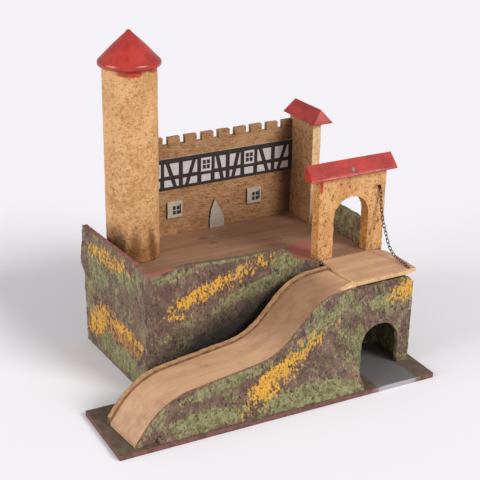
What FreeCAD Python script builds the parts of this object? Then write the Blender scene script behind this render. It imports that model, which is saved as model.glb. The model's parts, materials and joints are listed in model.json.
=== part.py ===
"""Toy castle: a board plateau with a recessed deck, a tube tower, a battlemented wall, a slab tower,
a gatehouse with a drawbridge on one chain, and a loose ramp unit with a tunnel.

Frame: +Z up, +Y towards the battlemented wall, +X to the right as seen from the ramp.
The origin is the middle of the foot of the plateau's front wall, half way through that board.
"""
import FreeCAD, Part
import math
import os
import Sketcher

Vector = FreeCAD.Vector
Rotation = FreeCAD.Rotation
Placement = FreeCAD.Placement

# Driving sizes, in millimetres and degrees. Places across are measured from the plateau's left face,
# places in depth from its front face, and heights from the table.
SIZES = {
    # plateau: a box of thin boards that is open below
    "plateau_width": 264.0,
    "plateau_depth": 140.0,
    "wall_board": 5.0,
    "side_splay": 1.64,
    "deck_top": 100.0,
    "deck_plank": 6.0,
    "front_corner_height": 124.0,
    "front_crest_height": 129.0,
    "front_crest_run": 37.0,
    "front_top_height": 125.5,
    "front_top_run": 95.0,
    "front_top_end": 142.0,
    "front_shoulder_height": 111.3,
    "front_shoulder_run": 158.0,
    "front_shoulder_drop": 3.3,
    "front_shoulder_end": 172.0,
    "front_dip_height": 101.0,
    "front_dip_run": 184.0,
    "front_sill_height": 95.0,
    "front_sill_run": 187.0,
    "left_front_height": 123.5,
    "left_crest_height": 127.0,
    "left_crest_run": 18.0,
    "left_top_height": 125.0,
    "left_top_end": 143.5,
    "left_lug_run": 151.0,
    "left_lug_top": 90.0,
    "left_lug_foot": 73.0,
    "batten_side": 10.0,
    "batten_inset": 24.0,
    # round tower: a coated cardboard tube on a turned foot, under a turned roof
    "tower_across": 35.0,
    "tower_back": 108.5,
    "tower_radius": 26.0,
    "tower_tube_wall": 2.5,
    "tower_top": 291.0,
    "tower_foot_height": 8.0,
    "tower_fit": 0.2,
    "roof_rim_radius": 30.0,
    "roof_rim_height": 5.0,
    "roof_cone_height": 28.0,
    "roof_tip_radius": 1.6,
    "roof_spigot_depth": 6.0,
    # battlemented back wall with its half-timber strip and its cards
    "back_wall_left": 31.0,
    "back_wall_right": 233.0,
    "back_wall_top": 204.8,
    "merlon_first": 221.0,
    "merlon_width": 13.0,
    "merlon_pitch": 19.1,
    "merlon_height": 7.8,
    "strip_left": 62.0,
    "strip_foot": 150.0,
    "strip_height": 33.0,
    "strip_card": 0.8,
    "timber_proud": 0.3,
    "timber_foot_rail": 3.0,
    "timber_head_rail": 5.2,
    "timber_mid_rail": 4.0,
    "timber_mid_height": 10.5,
    "timber_post": 4.5,
    "timber_brace": 4.2,
    "timber_brace_gap": 1.4,
    "timber_window_width": 20.0,
    "strip_window_1": 72.0,
    "strip_window_2": 129.6,
    "strip_window_3": 180.3,
    "strip_window_4": 238.5,
    "panel_card": 2.0,
    "window_card_width": 17.0,
    "window_card_height": 17.4,
    "window_card_foot": 119.0,
    "window_left_place": 84.8,
    "window_right_place": 178.2,
    "door_card_left": 133.8,
    "door_card_width": 17.2,
    "door_card_height": 31.0,
    "door_card_straight": 9.0,
    "door_card_shoulder": 20.4,
    # slab tower: one thick board set endways, under a hipped block
    "slab_left": 233.0,
    "slab_thickness": 10.0,
    "slab_front": 95.0,
    "slab_top": 210.0,
    "slab_roof_left": 230.0,
    "slab_roof_width": 22.5,
    "slab_roof_front": 89.0,
    "slab_roof_length": 59.5,
    "slab_roof_rise": 14.5,
    "slab_roof_hip": 5.0,
    "roof_eave": 1.2,
    # gatehouse
    "gate_left": 186.5,
    "gate_front": 8.0,
    "gate_thickness": 12.0,
    "gate_top": 185.5,
    "gate_arch_middle": 224.4,
    "gate_arch_radius": 20.5,
    "gate_arch_spring": 141.0,
    "gate_roof_left": 172.4,
    "gate_roof_length": 99.6,
    "gate_roof_front": 1.0,
    "gate_roof_depth": 26.0,
    "gate_roof_rise": 13.5,
    "gate_roof_hip": 0.6,
    "gate_roof_back_trim": 8.6,
    "roof_nail_across": 221.4,
    "roof_nail_back": 16.0,
    "roof_nail_foot": 178.9,
    "roof_nail_lean": 43.4,
    "roof_nail_radius": 0.8,
    "roof_nail_length": 15.6,
    "roof_nail_head": 1.9,
    "roof_nail_head_height": 0.8,
    "chain_hole_across": 256.7,
    "chain_hole_height": 166.5,
    "chain_hole_radius": 2.2,
    # bank on the right of the deck
    "bank_left": 247.0,
    "bank_length": 73.0,
    "bank_height": 31.0,
    "bank_crest": 2.5,
    "bank_outer_height": 12.0,
    # drawbridge, with the hinge wire's play in its eyes
    "bridge_left": 191.0,
    "bridge_right": 257.5,
    "bridge_flare": 6.0,
    "bridge_flare_run": 43.0,
    "bridge_front": 51.0,
    "bridge_thickness": 4.0,
    "bridge_corner": 11.5,
    "bridge_gate_gap": 0.6,
    "bridge_heel": 1.4,
    "hinge_wire_radius": 0.7,
    "hinge_play": 0.1,
    "hinge_wire_end": 1.2,
    "eye_wire_radius": 0.6,
    "eye_shank": 8.0,
    "eye_left": 188.9,
    "eye_right": 260.4,
    # chain, with the gap between neighbouring links
    "link_wire_radius": 0.4,
    "link_length": 5.8,
    "link_width": 3.4,
    "link_gap": 0.25,
    "chain_peg_radius": 0.5,
    "chain_peg_length": 9.0,
    "chain_pin_radius": 0.6,
    "chain_pin_top": 102.0,
    "chain_pin_back": 4.5,
    "chain_pin_play": 0.1,
    # ramp unit: base board and tunnel block, turned a little against the plateau
    "unit_turn": -1.8,
    "unit_left": -66.4,
    "unit_front": -81.0,
    "unit_length": 328.0,
    "unit_width": 82.4,
    "unit_board": 5.0,
    "portal_left": 251.0,
    "portal_width": 70.0,
    "portal_front": 33.9,
    "portal_top": 95.0,
    "portal_corner": 4.0,
    "block_left": 255.0,
    "block_top": 92.0,
    "block_length": 73.0,
    "block_end_inset": 8.0,
    "tunnel_middle": 286.0,
    "tunnel_radius": 21.0,
    "tunnel_spring": 32.0,
    "platform_left": 252.0,
    "platform_length": 83.0,
    "platform_front": 49.5,
    "platform_board": 4.0,
    # hill: two contour boards with a bent road sheet
    "hill_turn": 5.33,
    "hill_left": -50.0,
    "hill_front": -77.0,
    "hill_width": 49.0,
    "road_sheet": 2.0,
    "rail_proud": 2.6,
    "road_foot_height": 8.4,
    "road_knee_run": 27.0,
    "road_knee_height": 43.5,
    "road_terrace_end": 150.0,
    "road_terrace_height": 51.0,
    "road_top_run": 200.0,
    "road_top_height": 98.0,
    "road_level_run": 42.0,
    "road_knee_bend": 65.0,
    "road_foot_bend": 60.0,
    "road_top_bend": 55.0,
    "road_end_gap": 1.0,
    "kerb_run": 200.0,
    "kerb_length": 32.0,
    "kerb_height": 4.0,
    "kerb_width": 5.0,
    "foot_bank_run": 22.0,
    "foot_bank_end": 234.0,
    "foot_bank_low": 5.0,
    "foot_bank_high": 42.0,
    "foot_bank_margin": 1.5,
}

doc = FreeCAD.newDocument("toy_castle")
sheet = doc.addObject("Spreadsheet::Sheet", "Sizes")
for row, (alias, number) in enumerate(SIZES.items(), start=1):
    sheet.set(f"A{row}", alias)
    sheet.set(f"B{row}", str(number))
    sheet.setAlias(f"B{row}", alias)
doc.recompute()

NODES = []


def size(alias):
    """The sheet's number for an alias, for shapes that are worked out in code."""
    return float(sheet.get(alias))


def cell(alias):
    """The alias as a term of an expression."""
    return f"Sizes.{alias}"


def across(term):
    """A place across, given from the plateau's left face, in the part's frame."""
    return f"{term} - Sizes.plateau_width / 2"


def depth(term):
    """A place in depth, given from the plateau's front face, in the part's frame."""
    return f"{term} - Sizes.wall_board / 2"


def bind(thing, **terms):
    """Binds properties of a document object to expressions."""
    for name, term in terms.items():
        thing.setExpression(name.replace("__", "."), term)


def place(thing, x="0", y="0", z="0"):
    """Binds the place of a document object."""
    bind(thing, Placement__Base__x=x, Placement__Base__y=y, Placement__Base__z=z)


def node(thing, label):
    """Names a finished sub-part, which gives its file the same name."""
    thing.Label = label
    NODES.append(thing)
    return thing


def box(name, length, width, height, x, y, z):
    """A plain board or block with its lowest corner at x, y, z."""
    thing = doc.addObject("Part::Box", name)
    bind(thing, Length=length, Width=width, Height=height)
    place(thing, x, y, z)
    return thing


def rod(name, radius, length, x, y, z, towards="up"):
    """A cylinder from x, y, z that runs up, back (+Y) or right (+X)."""
    thing = doc.addObject("Part::Cylinder", name)
    bind(thing, Radius=radius, Height=length)
    turns = {"back": Rotation(Vector(1, 0, 0), -90), "right": Rotation(Vector(0, 1, 0), 90)}
    if towards in turns:
        thing.Placement = Placement(Vector(), turns[towards])
    place(thing, x, y, z)
    return thing


def join(name, *pieces):
    """The union of pieces."""
    thing = doc.addObject("Part::MultiFuse", name)
    thing.Shapes = list(pieces)
    thing.Refine = True
    return thing


def cut(name, base, *tools):
    """The base without the tools."""
    tool = tools[0] if len(tools) == 1 else join(f"{name}_tools", *tools)
    thing = doc.addObject("Part::Cut", name)
    thing.Base = base
    thing.Tool = tool
    return thing


def outline_board(name, corners, thickness, plane="XZ_Plane"):
    """A board with a straight-edged outline, padded half to each side of its plane.

    On XZ_Plane the corners are (across, height), on YZ_Plane (depth, height), on XY_Plane (across, depth).
    """
    body = doc.addObject("PartDesign::Body", name)
    sketch = body.newObject("Sketcher::SketchObject", f"{name}_outline")
    support = next(part for part in body.Origin.OriginFeatures if part.Role == plane)
    sketch.AttachmentSupport = (support, [""])
    sketch.MapMode = "FlatFace"
    count = len(corners)
    ring = [Vector(math.cos(math.tau * index / count), math.sin(math.tau * index / count)) for index in range(count)]
    for index in range(count):
        sketch.addGeometry(Part.LineSegment(ring[index], ring[(index + 1) % count]), False)
    for index in range(count):
        sketch.addConstraint(Sketcher.Constraint("Coincident", index, 2, (index + 1) % count, 1))
    for index, corner in enumerate(corners):
        for kind, term in zip(("DistanceX", "DistanceY"), corner):
            fixed = sketch.addConstraint(Sketcher.Constraint(kind, -1, 1, index, 1, 1.0))
            sketch.setExpression(f"Constraints[{fixed}]", term)
    pad = body.newObject("PartDesign::Pad", f"{name}_pad")
    pad.Profile = sketch
    pad.Midplane = True
    pad.setExpression("Length", thickness)
    return body


def turned(thing, turn, left, front, along="0", inward="0", height="0"):
    """Binds a place in a turned frame whose corner is at left, front in the plateau's measures."""
    angle = f"{turn} * 1 deg"
    bind(thing, Placement__Rotation__Angle=angle)
    place(
        thing,
        across(f"{left} + ({along}) * cos({angle}) - ({inward}) * sin({angle})"),
        depth(f"{front} + ({along}) * sin({angle}) + ({inward}) * cos({angle})"),
        height,
    )
    return thing


def on_unit(thing, along="0", inward="0", height="0"):
    """Places a piece by the ramp unit's base board."""
    return turned(thing, "Sizes.unit_turn", "Sizes.unit_left", "Sizes.unit_front", along, inward, height)


def on_hill(thing, along="0", inward="0", height="0"):
    """Places a piece by the outer face of the hill's front board."""
    return turned(thing, "Sizes.hill_turn", "Sizes.hill_left", "Sizes.hill_front", along, inward, height)


def hipped_roof(name, along_x, left, length, front, width, height, rise, hip, far_hip):
    """A roof block: a low upright eave, then slopes up to a ridge whose ends lean in by hip and far_hip."""
    across_length, depth_length = (length, width) if along_x else (width, length)
    eave = box(f"{name}_eave", across_length, depth_length, "Sizes.roof_eave", across(left), depth(front), height)
    slopes = doc.addObject("Part::Wedge", f"{name}_slopes")
    slopes.Placement = Placement(Vector(), Rotation(Vector(1, 0, 0), 90))
    low_x, high_x = (hip, f"{length} - {far_hip}") if along_x else (f"{width} / 2", f"{width} / 2")
    low_y, high_y = (f"{width} / 2", f"{width} / 2") if along_x else (hip, f"{length} - {far_hip}")
    bind(slopes, Xmin="0", Xmax=across_length, Ymin="0", Ymax=f"{rise} - Sizes.roof_eave", Zmin=f"-({depth_length})")
    bind(slopes, Zmax="0", X2min=low_x, X2max=high_x, Z2min=f"-({high_y})", Z2max=f"-({low_y})")
    place(slopes, across(left), depth(front), f"{height} + Sizes.roof_eave")
    return join(name, eave, slopes)


def arched_opening(name, middle, radius, spring, foot, front, thickness):
    """The cutting shape of a round-headed opening that runs back from front."""
    sides = box(f"{name}_sides", f"2 * {radius}", thickness, f"{spring} - ({foot})", f"{middle} - {radius}", front, foot)
    head = rod(f"{name}_head", radius, thickness, middle, front, spring, "back")
    return join(name, sides, head)


# The plateau's walls. The left one is turned out a little and trimmed to the front wall's inner face.
front_wall = outline_board(
    "front_wall",
    [
        ("0", "0"),
        ("Sizes.plateau_width", "0"),
        ("Sizes.plateau_width", "Sizes.front_sill_height"),
        ("Sizes.front_sill_run", "Sizes.front_sill_height"),
        ("Sizes.front_dip_run", "Sizes.front_dip_height"),
        ("Sizes.front_shoulder_end", "Sizes.front_shoulder_height - Sizes.front_shoulder_drop"),
        ("Sizes.front_shoulder_run", "Sizes.front_shoulder_height"),
        ("Sizes.front_top_end", "Sizes.front_top_height"),
        ("Sizes.front_top_run", "Sizes.front_top_height"),
        ("Sizes.front_crest_run", "Sizes.front_crest_height"),
        ("0", "Sizes.front_corner_height"),
    ],
    "Sizes.wall_board",
)
place(front_wall, across("0"), "0", "0")
node(front_wall, "front_wall")

left_board = outline_board(
    "left_board",
    [
        ("0", "0"),
        ("Sizes.plateau_depth", "0"),
        ("Sizes.left_top_end - Sizes.roof_eave", "Sizes.left_lug_foot"),
        ("Sizes.left_lug_run", "(Sizes.left_lug_foot + Sizes.left_lug_top) / 2"),
        ("Sizes.left_lug_run - Sizes.roof_eave", "Sizes.left_lug_top"),
        ("Sizes.left_top_end", "Sizes.left_top_height"),
        ("Sizes.left_crest_run", "Sizes.left_crest_height"),
        ("0", "Sizes.left_front_height"),
    ],
    "Sizes.wall_board",
    "YZ_Plane",
)
bind(left_board, Placement__Rotation__Angle="Sizes.side_splay * 1 deg")
place(
    left_board,
    across("Sizes.wall_board / 2 * cos(Sizes.side_splay * 1 deg)"),
    depth("Sizes.wall_board / 2 * sin(Sizes.side_splay * 1 deg)"),
    "0",
)
front_space = box(
    "front_space",
    "Sizes.plateau_width",
    "2 * Sizes.wall_board",
    "Sizes.tower_top",
    across("-Sizes.plateau_width / 2"),
    depth("-Sizes.wall_board"),
    "0",
)
left_wall = node(cut("left_wall", left_board, front_space), "left_wall")

INSIDE_RIGHT = "Sizes.plateau_width - Sizes.wall_board"
UNDER_DECK = "Sizes.deck_top - Sizes.deck_plank"
right_wall = box(
    "right_wall",
    "Sizes.wall_board",
    "Sizes.plateau_depth - Sizes.wall_board",
    UNDER_DECK,
    across(INSIDE_RIGHT),
    depth("Sizes.wall_board"),
    "0",
)
node(right_wall, "right_wall")


def between_sides(name, width, height, back, foot, right=INSIDE_RIGHT):
    """A board that runs from the turned left wall's inner face to a place on the right."""
    long_board = box(f"{name}_long", right, width, height, across("0"), depth(back), foot)
    return node(cut(name, long_board, left_board), name)


between_sides("back_board", "Sizes.wall_board", UNDER_DECK, "Sizes.plateau_depth - Sizes.wall_board", "0")
BATTEN_FOOT = f"{UNDER_DECK} - Sizes.batten_side"
between_sides("deck_batten_front", "Sizes.batten_side", "Sizes.batten_side", "Sizes.batten_inset", BATTEN_FOOT)
between_sides(
    "deck_batten_back",
    "Sizes.batten_side",
    "Sizes.batten_side",
    "Sizes.plateau_depth - Sizes.batten_inset - Sizes.batten_side",
    BATTEN_FOOT,
)

# The deck, with a notch for the drawbridge's heel and two holes for the shanks of the hinge eyes.
HINGE_BACK = "Sizes.gate_front - Sizes.bridge_gate_gap - Sizes.bridge_thickness / 2"
HINGE_HEIGHT = "Sizes.deck_top - Sizes.bridge_thickness / 2"
EYE_RING = "Sizes.hinge_wire_radius + Sizes.hinge_play + Sizes.eye_wire_radius"
deck_board = box(
    "deck_board",
    "Sizes.plateau_width",
    "Sizes.plateau_depth - Sizes.wall_board",
    "Sizes.deck_plank",
    across("0"),
    depth("Sizes.wall_board"),
    UNDER_DECK,
)
deck_notch = box(
    "deck_notch",
    "Sizes.plateau_width",
    "Sizes.gate_front",
    "2 * Sizes.deck_plank",
    across("Sizes.front_sill_run"),
    depth("0"),
    UNDER_DECK,
)
eye_holes = [
    rod(
        f"eye_hole_{side}",
        "Sizes.eye_wire_radius",
        "Sizes.eye_shank",
        across(f"Sizes.eye_{side}"),
        depth(f"{HINGE_BACK} + {EYE_RING}"),
        HINGE_HEIGHT,
        "back",
    )
    for side in ("left", "right")
]
node(cut("courtyard_deck", deck_board, left_board, deck_notch, *eye_holes), "courtyard_deck")

right_bank = outline_board(
    "right_bank",
    [
        ("Sizes.bank_left", "0"),
        ("Sizes.plateau_width", "0"),
        ("Sizes.plateau_width", "Sizes.bank_outer_height"),
        ("Sizes.bank_left + Sizes.bank_crest", "Sizes.bank_height"),
        ("Sizes.bank_left", "Sizes.bank_height - Sizes.bank_crest"),
    ],
    "Sizes.bank_length",
)
place(right_bank, across("0"), depth("Sizes.gate_front + Sizes.gate_thickness + Sizes.bank_length / 2"), "Sizes.deck_top")
node(right_bank, "right_bank")

# The round tower.
TOWER_MIDDLE = (across("Sizes.tower_across"), depth("Sizes.tower_back"))
TUBE_HEIGHT = "Sizes.tower_top - Sizes.deck_top"
TUBE_INSIDE = "Sizes.tower_radius - Sizes.tower_tube_wall"
tube_outside = rod("tube_outside", "Sizes.tower_radius", TUBE_HEIGHT, *TOWER_MIDDLE, "Sizes.deck_top")
tube_inside = rod("tube_inside", TUBE_INSIDE, TUBE_HEIGHT, *TOWER_MIDDLE, "Sizes.deck_top")
node(cut("tower_tube", tube_outside, tube_inside), "tower_tube")
PLUG_RADIUS = f"{TUBE_INSIDE} - Sizes.tower_fit"
node(rod("tower_foot_disc", PLUG_RADIUS, "Sizes.tower_foot_height", *TOWER_MIDDLE, "Sizes.deck_top"), "tower_foot_disc")

roof_spigot = rod(
    "roof_spigot",
    PLUG_RADIUS,
    "Sizes.roof_spigot_depth",
    *TOWER_MIDDLE,
    "Sizes.tower_top - Sizes.roof_spigot_depth",
)
roof_rim = rod("roof_rim", "Sizes.roof_rim_radius", "Sizes.roof_rim_height", *TOWER_MIDDLE, "Sizes.tower_top")
roof_cone = doc.addObject("Part::Cone", "roof_cone")
bind(roof_cone, Radius1="Sizes.roof_rim_radius", Radius2="Sizes.roof_tip_radius", Height="Sizes.roof_cone_height")
place(roof_cone, *TOWER_MIDDLE, "Sizes.tower_top + Sizes.roof_rim_height")
node(join("tower_roof", roof_spigot, roof_rim, roof_cone), "tower_roof")

# The battlemented wall: one board with narrow slots between the merlons.
WALL_FACE = "Sizes.plateau_depth - Sizes.wall_board"
wall_board = box(
    "wall_board",
    "Sizes.back_wall_right - Sizes.back_wall_left",
    "Sizes.wall_board",
    "Sizes.back_wall_top - Sizes.deck_top",
    across("Sizes.back_wall_left"),
    depth(WALL_FACE),
    "Sizes.deck_top",
)
slot_count = int((size("merlon_first") - size("back_wall_left")) // size("merlon_pitch")) + 1
slots = [
    box(
        f"slot_{index}",
        "Sizes.merlon_pitch - Sizes.merlon_width",
        "Sizes.wall_board",
        "Sizes.merlon_height",
        across(f"Sizes.merlon_first - {index + 1} * Sizes.merlon_pitch + Sizes.merlon_width"),
        depth(WALL_FACE),
        "Sizes.back_wall_top - Sizes.merlon_height",
    )
    for index in range(slot_count)
]
node(cut("crenellated_wall", wall_board, *slots), "crenellated_wall")

# The printed strip: a card with the timbers standing a little proud of it.
strip_card = box(
    "half_timber_card",
    "Sizes.back_wall_right - Sizes.strip_left",
    "Sizes.strip_card",
    "Sizes.strip_height",
    across("Sizes.strip_left"),
    depth(f"{WALL_FACE} - Sizes.strip_card"),
    "Sizes.strip_foot",
)
node(strip_card, "half_timber_card")
TIMBER_FACE = f"{WALL_FACE} - Sizes.strip_card - Sizes.timber_proud"
STRIP_TOP = "Sizes.strip_foot + Sizes.strip_height"


def timber(name, left, width, foot, height):
    """An upright or level timber of the strip."""
    return box(name, width, "Sizes.timber_proud", height, across(left), depth(TIMBER_FACE), foot)


def brace(name, foot_left, head_left):
    """A leaning timber from the foot rail to the head rail."""
    corners = [
        (foot_left, "Sizes.strip_foot"),
        (f"{foot_left} + Sizes.timber_brace", "Sizes.strip_foot"),
        (f"{head_left} + Sizes.timber_brace", STRIP_TOP),
        (head_left, STRIP_TOP),
    ]
    body = outline_board(name, corners, "Sizes.timber_proud")
    place(body, across("0"), depth(f"{TIMBER_FACE} + Sizes.timber_proud / 2"), "0")
    return body


STRIP_LENGTH = "Sizes.back_wall_right - Sizes.strip_left"
WINDOW_BAYS = 3
timbers = [
    timber("foot_rail", "Sizes.strip_left", STRIP_LENGTH, "Sizes.strip_foot", "Sizes.timber_foot_rail"),
    timber(
        "head_rail",
        "Sizes.strip_left",
        STRIP_LENGTH,
        f"{STRIP_TOP} - Sizes.timber_head_rail",
        "Sizes.timber_head_rail",
    ),
    timber(
        "mid_rail",
        "Sizes.strip_left",
        STRIP_LENGTH,
        "Sizes.strip_foot + Sizes.timber_mid_height",
        "Sizes.timber_mid_rail",
    ),
]
for bay in range(1, WINDOW_BAYS + 1):
    window = f"Sizes.strip_window_{bay}"
    following = f"Sizes.strip_window_{bay + 1}"
    left_post = f"{window} - Sizes.timber_window_width / 2"
    right_post = f"{window} + Sizes.timber_window_width / 2 - Sizes.timber_post"
    middle_post = f"({window} + {following}) / 2 - Sizes.timber_post / 2"
    next_post = f"{following} - Sizes.timber_window_width / 2"
    for name, left in (("left_post", left_post), ("right_post", right_post), ("middle_post", middle_post)):
        timbers.append(timber(f"{name}_{bay}", left, "Sizes.timber_post", "Sizes.strip_foot", "Sizes.strip_height"))
    fore_foot = f"{middle_post} - Sizes.timber_brace_gap - Sizes.timber_brace"
    back_foot = f"{middle_post} + Sizes.timber_post + Sizes.timber_brace_gap"
    timbers.append(brace(f"fore_brace_{bay}", fore_foot, f"{right_post} + Sizes.timber_post"))
    timbers.append(brace(f"back_brace_{bay}", back_foot, f"{next_post} - Sizes.timber_brace"))
timber_end = timber("last_post", next_post, "Sizes.timber_post", "Sizes.strip_foot", "Sizes.strip_height")
node(join("half_timber_frame", *timbers, timber_end), "half_timber_frame")

for side in ("left", "right"):
    card = box(
        f"window_card_{side}",
        "Sizes.window_card_width",
        "Sizes.panel_card",
        "Sizes.window_card_height",
        across(f"Sizes.window_{side}_place"),
        depth(f"{WALL_FACE} - Sizes.panel_card"),
        "Sizes.window_card_foot",
    )
    node(card, f"window_card_{side}")

door_card = outline_board(
    "door_card",
    [
        ("0", "0"),
        ("Sizes.door_card_width", "0"),
        ("Sizes.door_card_width", "Sizes.door_card_straight"),
        ("Sizes.door_card_width * 5 / 7", "Sizes.door_card_shoulder"),
        ("Sizes.door_card_width / 3", "Sizes.door_card_height"),
        ("Sizes.door_card_width / 12", "Sizes.door_card_shoulder"),
        ("0", "Sizes.door_card_straight"),
    ],
    "Sizes.panel_card",
)
place(door_card, across("Sizes.door_card_left"), depth(f"{WALL_FACE} - Sizes.panel_card / 2"), "Sizes.deck_top")
node(door_card, "door_card")

# The slab tower.
square_tower = box(
    "square_tower",
    "Sizes.slab_thickness",
    "Sizes.plateau_depth - Sizes.slab_front",
    "Sizes.slab_top - Sizes.deck_top",
    across("Sizes.slab_left"),
    depth("Sizes.slab_front"),
    "Sizes.deck_top",
)
node(square_tower, "square_tower")
square_roof = hipped_roof(
    "square_tower_roof",
    False,
    "Sizes.slab_roof_left",
    "Sizes.slab_roof_length",
    "Sizes.slab_roof_front",
    "Sizes.slab_roof_width",
    "Sizes.slab_top",
    "Sizes.slab_roof_rise",
    "Sizes.slab_roof_hip",
    "Sizes.slab_roof_hip",
)
node(square_roof, "square_tower_roof")

# The gatehouse, with its roof, the nail that holds the roof and the peg that holds the chain.
gate_block = box(
    "gate_block",
    "Sizes.plateau_width - Sizes.gate_left",
    "Sizes.gate_thickness",
    "Sizes.gate_top - Sizes.deck_top",
    across("Sizes.gate_left"),
    depth("Sizes.gate_front"),
    "Sizes.deck_top",
)
gate_arch = arched_opening(
    "gate_arch",
    across("Sizes.gate_arch_middle"),
    "Sizes.gate_arch_radius",
    "Sizes.gate_arch_spring",
    "Sizes.deck_top",
    depth("Sizes.gate_front"),
    "Sizes.gate_thickness",
)
chain_hole = rod(
    "chain_hole",
    "Sizes.chain_hole_radius",
    "Sizes.gate_thickness",
    across("Sizes.chain_hole_across"),
    depth("Sizes.gate_front"),
    "Sizes.chain_hole_height",
    "back",
)
NAIL_PLACE = (across("Sizes.roof_nail_across"), depth("Sizes.roof_nail_back"), "Sizes.roof_nail_foot")
nail_shank = rod("nail_shank", "Sizes.roof_nail_radius", "Sizes.roof_nail_length", "0", "0", "0")
nail_head = rod("nail_head", "Sizes.roof_nail_head", "Sizes.roof_nail_head_height", "0", "0", "Sizes.roof_nail_length")
roof_nail = node(join("gatehouse_roof_nail", nail_shank, nail_head), "gatehouse_roof_nail")
roof_nail.Placement = Placement(Vector(), Rotation(Vector(1, 0, 0), size("roof_nail_lean")))
place(roof_nail, *NAIL_PLACE)
node(cut("gatehouse", gate_block, gate_arch, chain_hole, roof_nail), "gatehouse")
gate_roof_block = hipped_roof(
    "gate_roof_block",
    True,
    "Sizes.gate_roof_left",
    "Sizes.gate_roof_length",
    "Sizes.gate_roof_front",
    "Sizes.gate_roof_depth",
    "Sizes.gate_top",
    "Sizes.gate_roof_rise",
    "Sizes.gate_roof_hip",
    "0",
)
# The back slope's left end is cut back, from the ridge's end to the back eave.
back_corner = outline_board(
    "back_corner",
    [
        ("0", "0"),
        ("2 * Sizes.gate_roof_back_trim", "Sizes.gate_roof_depth"),
        ("-Sizes.gate_roof_back_trim", "Sizes.gate_roof_depth"),
        ("-Sizes.gate_roof_back_trim", "0"),
    ],
    "4 * Sizes.gate_roof_rise",
    "XY_Plane",
)
place(
    back_corner,
    across("Sizes.gate_roof_left"),
    depth("Sizes.gate_roof_front + Sizes.gate_roof_depth / 2"),
    "Sizes.gate_top",
)
node(cut("gatehouse_roof", gate_roof_block, roof_nail, back_corner), "gatehouse_roof")

chain_peg = rod(
    "chain_peg",
    "Sizes.chain_peg_radius",
    "Sizes.chain_peg_length",
    across("Sizes.chain_hole_across - Sizes.chain_peg_length / 2"),
    depth("Sizes.gate_front + Sizes.gate_thickness + Sizes.chain_peg_radius"),
    "Sizes.chain_hole_height",
    "right",
)
node(chain_peg, "chain_peg")

for side in ("left", "right"):
    ring = doc.addObject("Part::Torus", f"eye_ring_{side}")
    ring.Placement = Placement(Vector(), Rotation(Vector(0, 1, 0), 90))
    bind(ring, Radius1=EYE_RING, Radius2="Sizes.eye_wire_radius")
    place(ring, across(f"Sizes.eye_{side}"), depth(HINGE_BACK), HINGE_HEIGHT)
    shank = rod(
        f"eye_shank_{side}",
        "Sizes.eye_wire_radius",
        "Sizes.eye_shank",
        across(f"Sizes.eye_{side}"),
        depth(f"{HINGE_BACK} + {EYE_RING}"),
        HINGE_HEIGHT,
        "back",
    )
    node(join(f"hinge_eye_{side}", ring, shank), f"hinge_eye_{side}")

# The drawbridge: a flared board on a wire axle, with a pin for the chain.
bridge_board = outline_board(
    "bridge_board",
    [
        ("Sizes.bridge_left", "-Sizes.bridge_front"),
        ("Sizes.bridge_right", "-Sizes.bridge_front"),
        ("Sizes.bridge_right + Sizes.bridge_flare", "Sizes.bridge_flare_run - Sizes.bridge_front"),
        ("Sizes.bridge_right + Sizes.bridge_flare * 4 / 5", f"{HINGE_BACK} + Sizes.bridge_heel - Sizes.bridge_corner * 2 / 3"),
        ("Sizes.bridge_right + Sizes.bridge_flare / 5", f"{HINGE_BACK} + Sizes.bridge_heel - Sizes.bridge_corner / 4"),
        ("Sizes.bridge_right + Sizes.bridge_flare - Sizes.bridge_corner", f"{HINGE_BACK} + Sizes.bridge_heel"),
        ("Sizes.bridge_left", f"{HINGE_BACK} + Sizes.bridge_heel"),
    ],
    "Sizes.bridge_thickness",
    "XY_Plane",
)
place(bridge_board, across("0"), depth("0"), HINGE_HEIGHT)
hinge_wire = rod(
    "hinge_wire",
    "Sizes.hinge_wire_radius",
    "Sizes.eye_right - Sizes.eye_left + 2 * Sizes.hinge_wire_end",
    across("Sizes.eye_left - Sizes.hinge_wire_end"),
    depth(HINGE_BACK),
    HINGE_HEIGHT,
    "right",
)
node(hinge_wire, "hinge_wire")
PIN_FOOT = "Sizes.deck_top - Sizes.bridge_thickness"
chain_pin = rod(
    "chain_pin",
    "Sizes.chain_pin_radius",
    f"Sizes.chain_pin_top - ({PIN_FOOT})",
    across("Sizes.chain_hole_across"),
    depth("Sizes.chain_pin_back - Sizes.bridge_front"),
    PIN_FOOT,
)
node(chain_pin, "chain_pin")
node(cut("drawbridge", bridge_board, hinge_wire, chain_pin), "drawbridge")

# The ramp unit's base board and tunnel block.
unit_board = box("ramp_base", "Sizes.unit_length", "Sizes.unit_width", "Sizes.unit_board", "0", "0", "0")
node(on_unit(unit_board), "ramp_base")


def tunnel(name, front):
    """The tunnel's opening through one board of the block, in the unit's own measures."""
    return arched_opening(
        name, "Sizes.tunnel_middle", "Sizes.tunnel_radius", "Sizes.tunnel_spring", "Sizes.unit_board", front, "Sizes.unit_board"
    )


portal_outline = outline_board(
    "portal_outline",
    [
        ("Sizes.portal_left", "Sizes.unit_board"),
        ("Sizes.portal_left + Sizes.portal_width", "Sizes.unit_board"),
        ("Sizes.portal_left + Sizes.portal_width", "Sizes.portal_top - Sizes.portal_corner"),
        ("Sizes.portal_left + Sizes.portal_width - Sizes.portal_corner", "Sizes.portal_top"),
        ("Sizes.portal_left", "Sizes.portal_top"),
    ],
    "Sizes.unit_board",
)
place(portal_outline, "0", "Sizes.portal_front + Sizes.unit_board / 2", "0")
portal_board = cut("portal_board", portal_outline, tunnel("portal_opening", "Sizes.portal_front"))
node(on_unit(portal_board), "portal_board")

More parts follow.
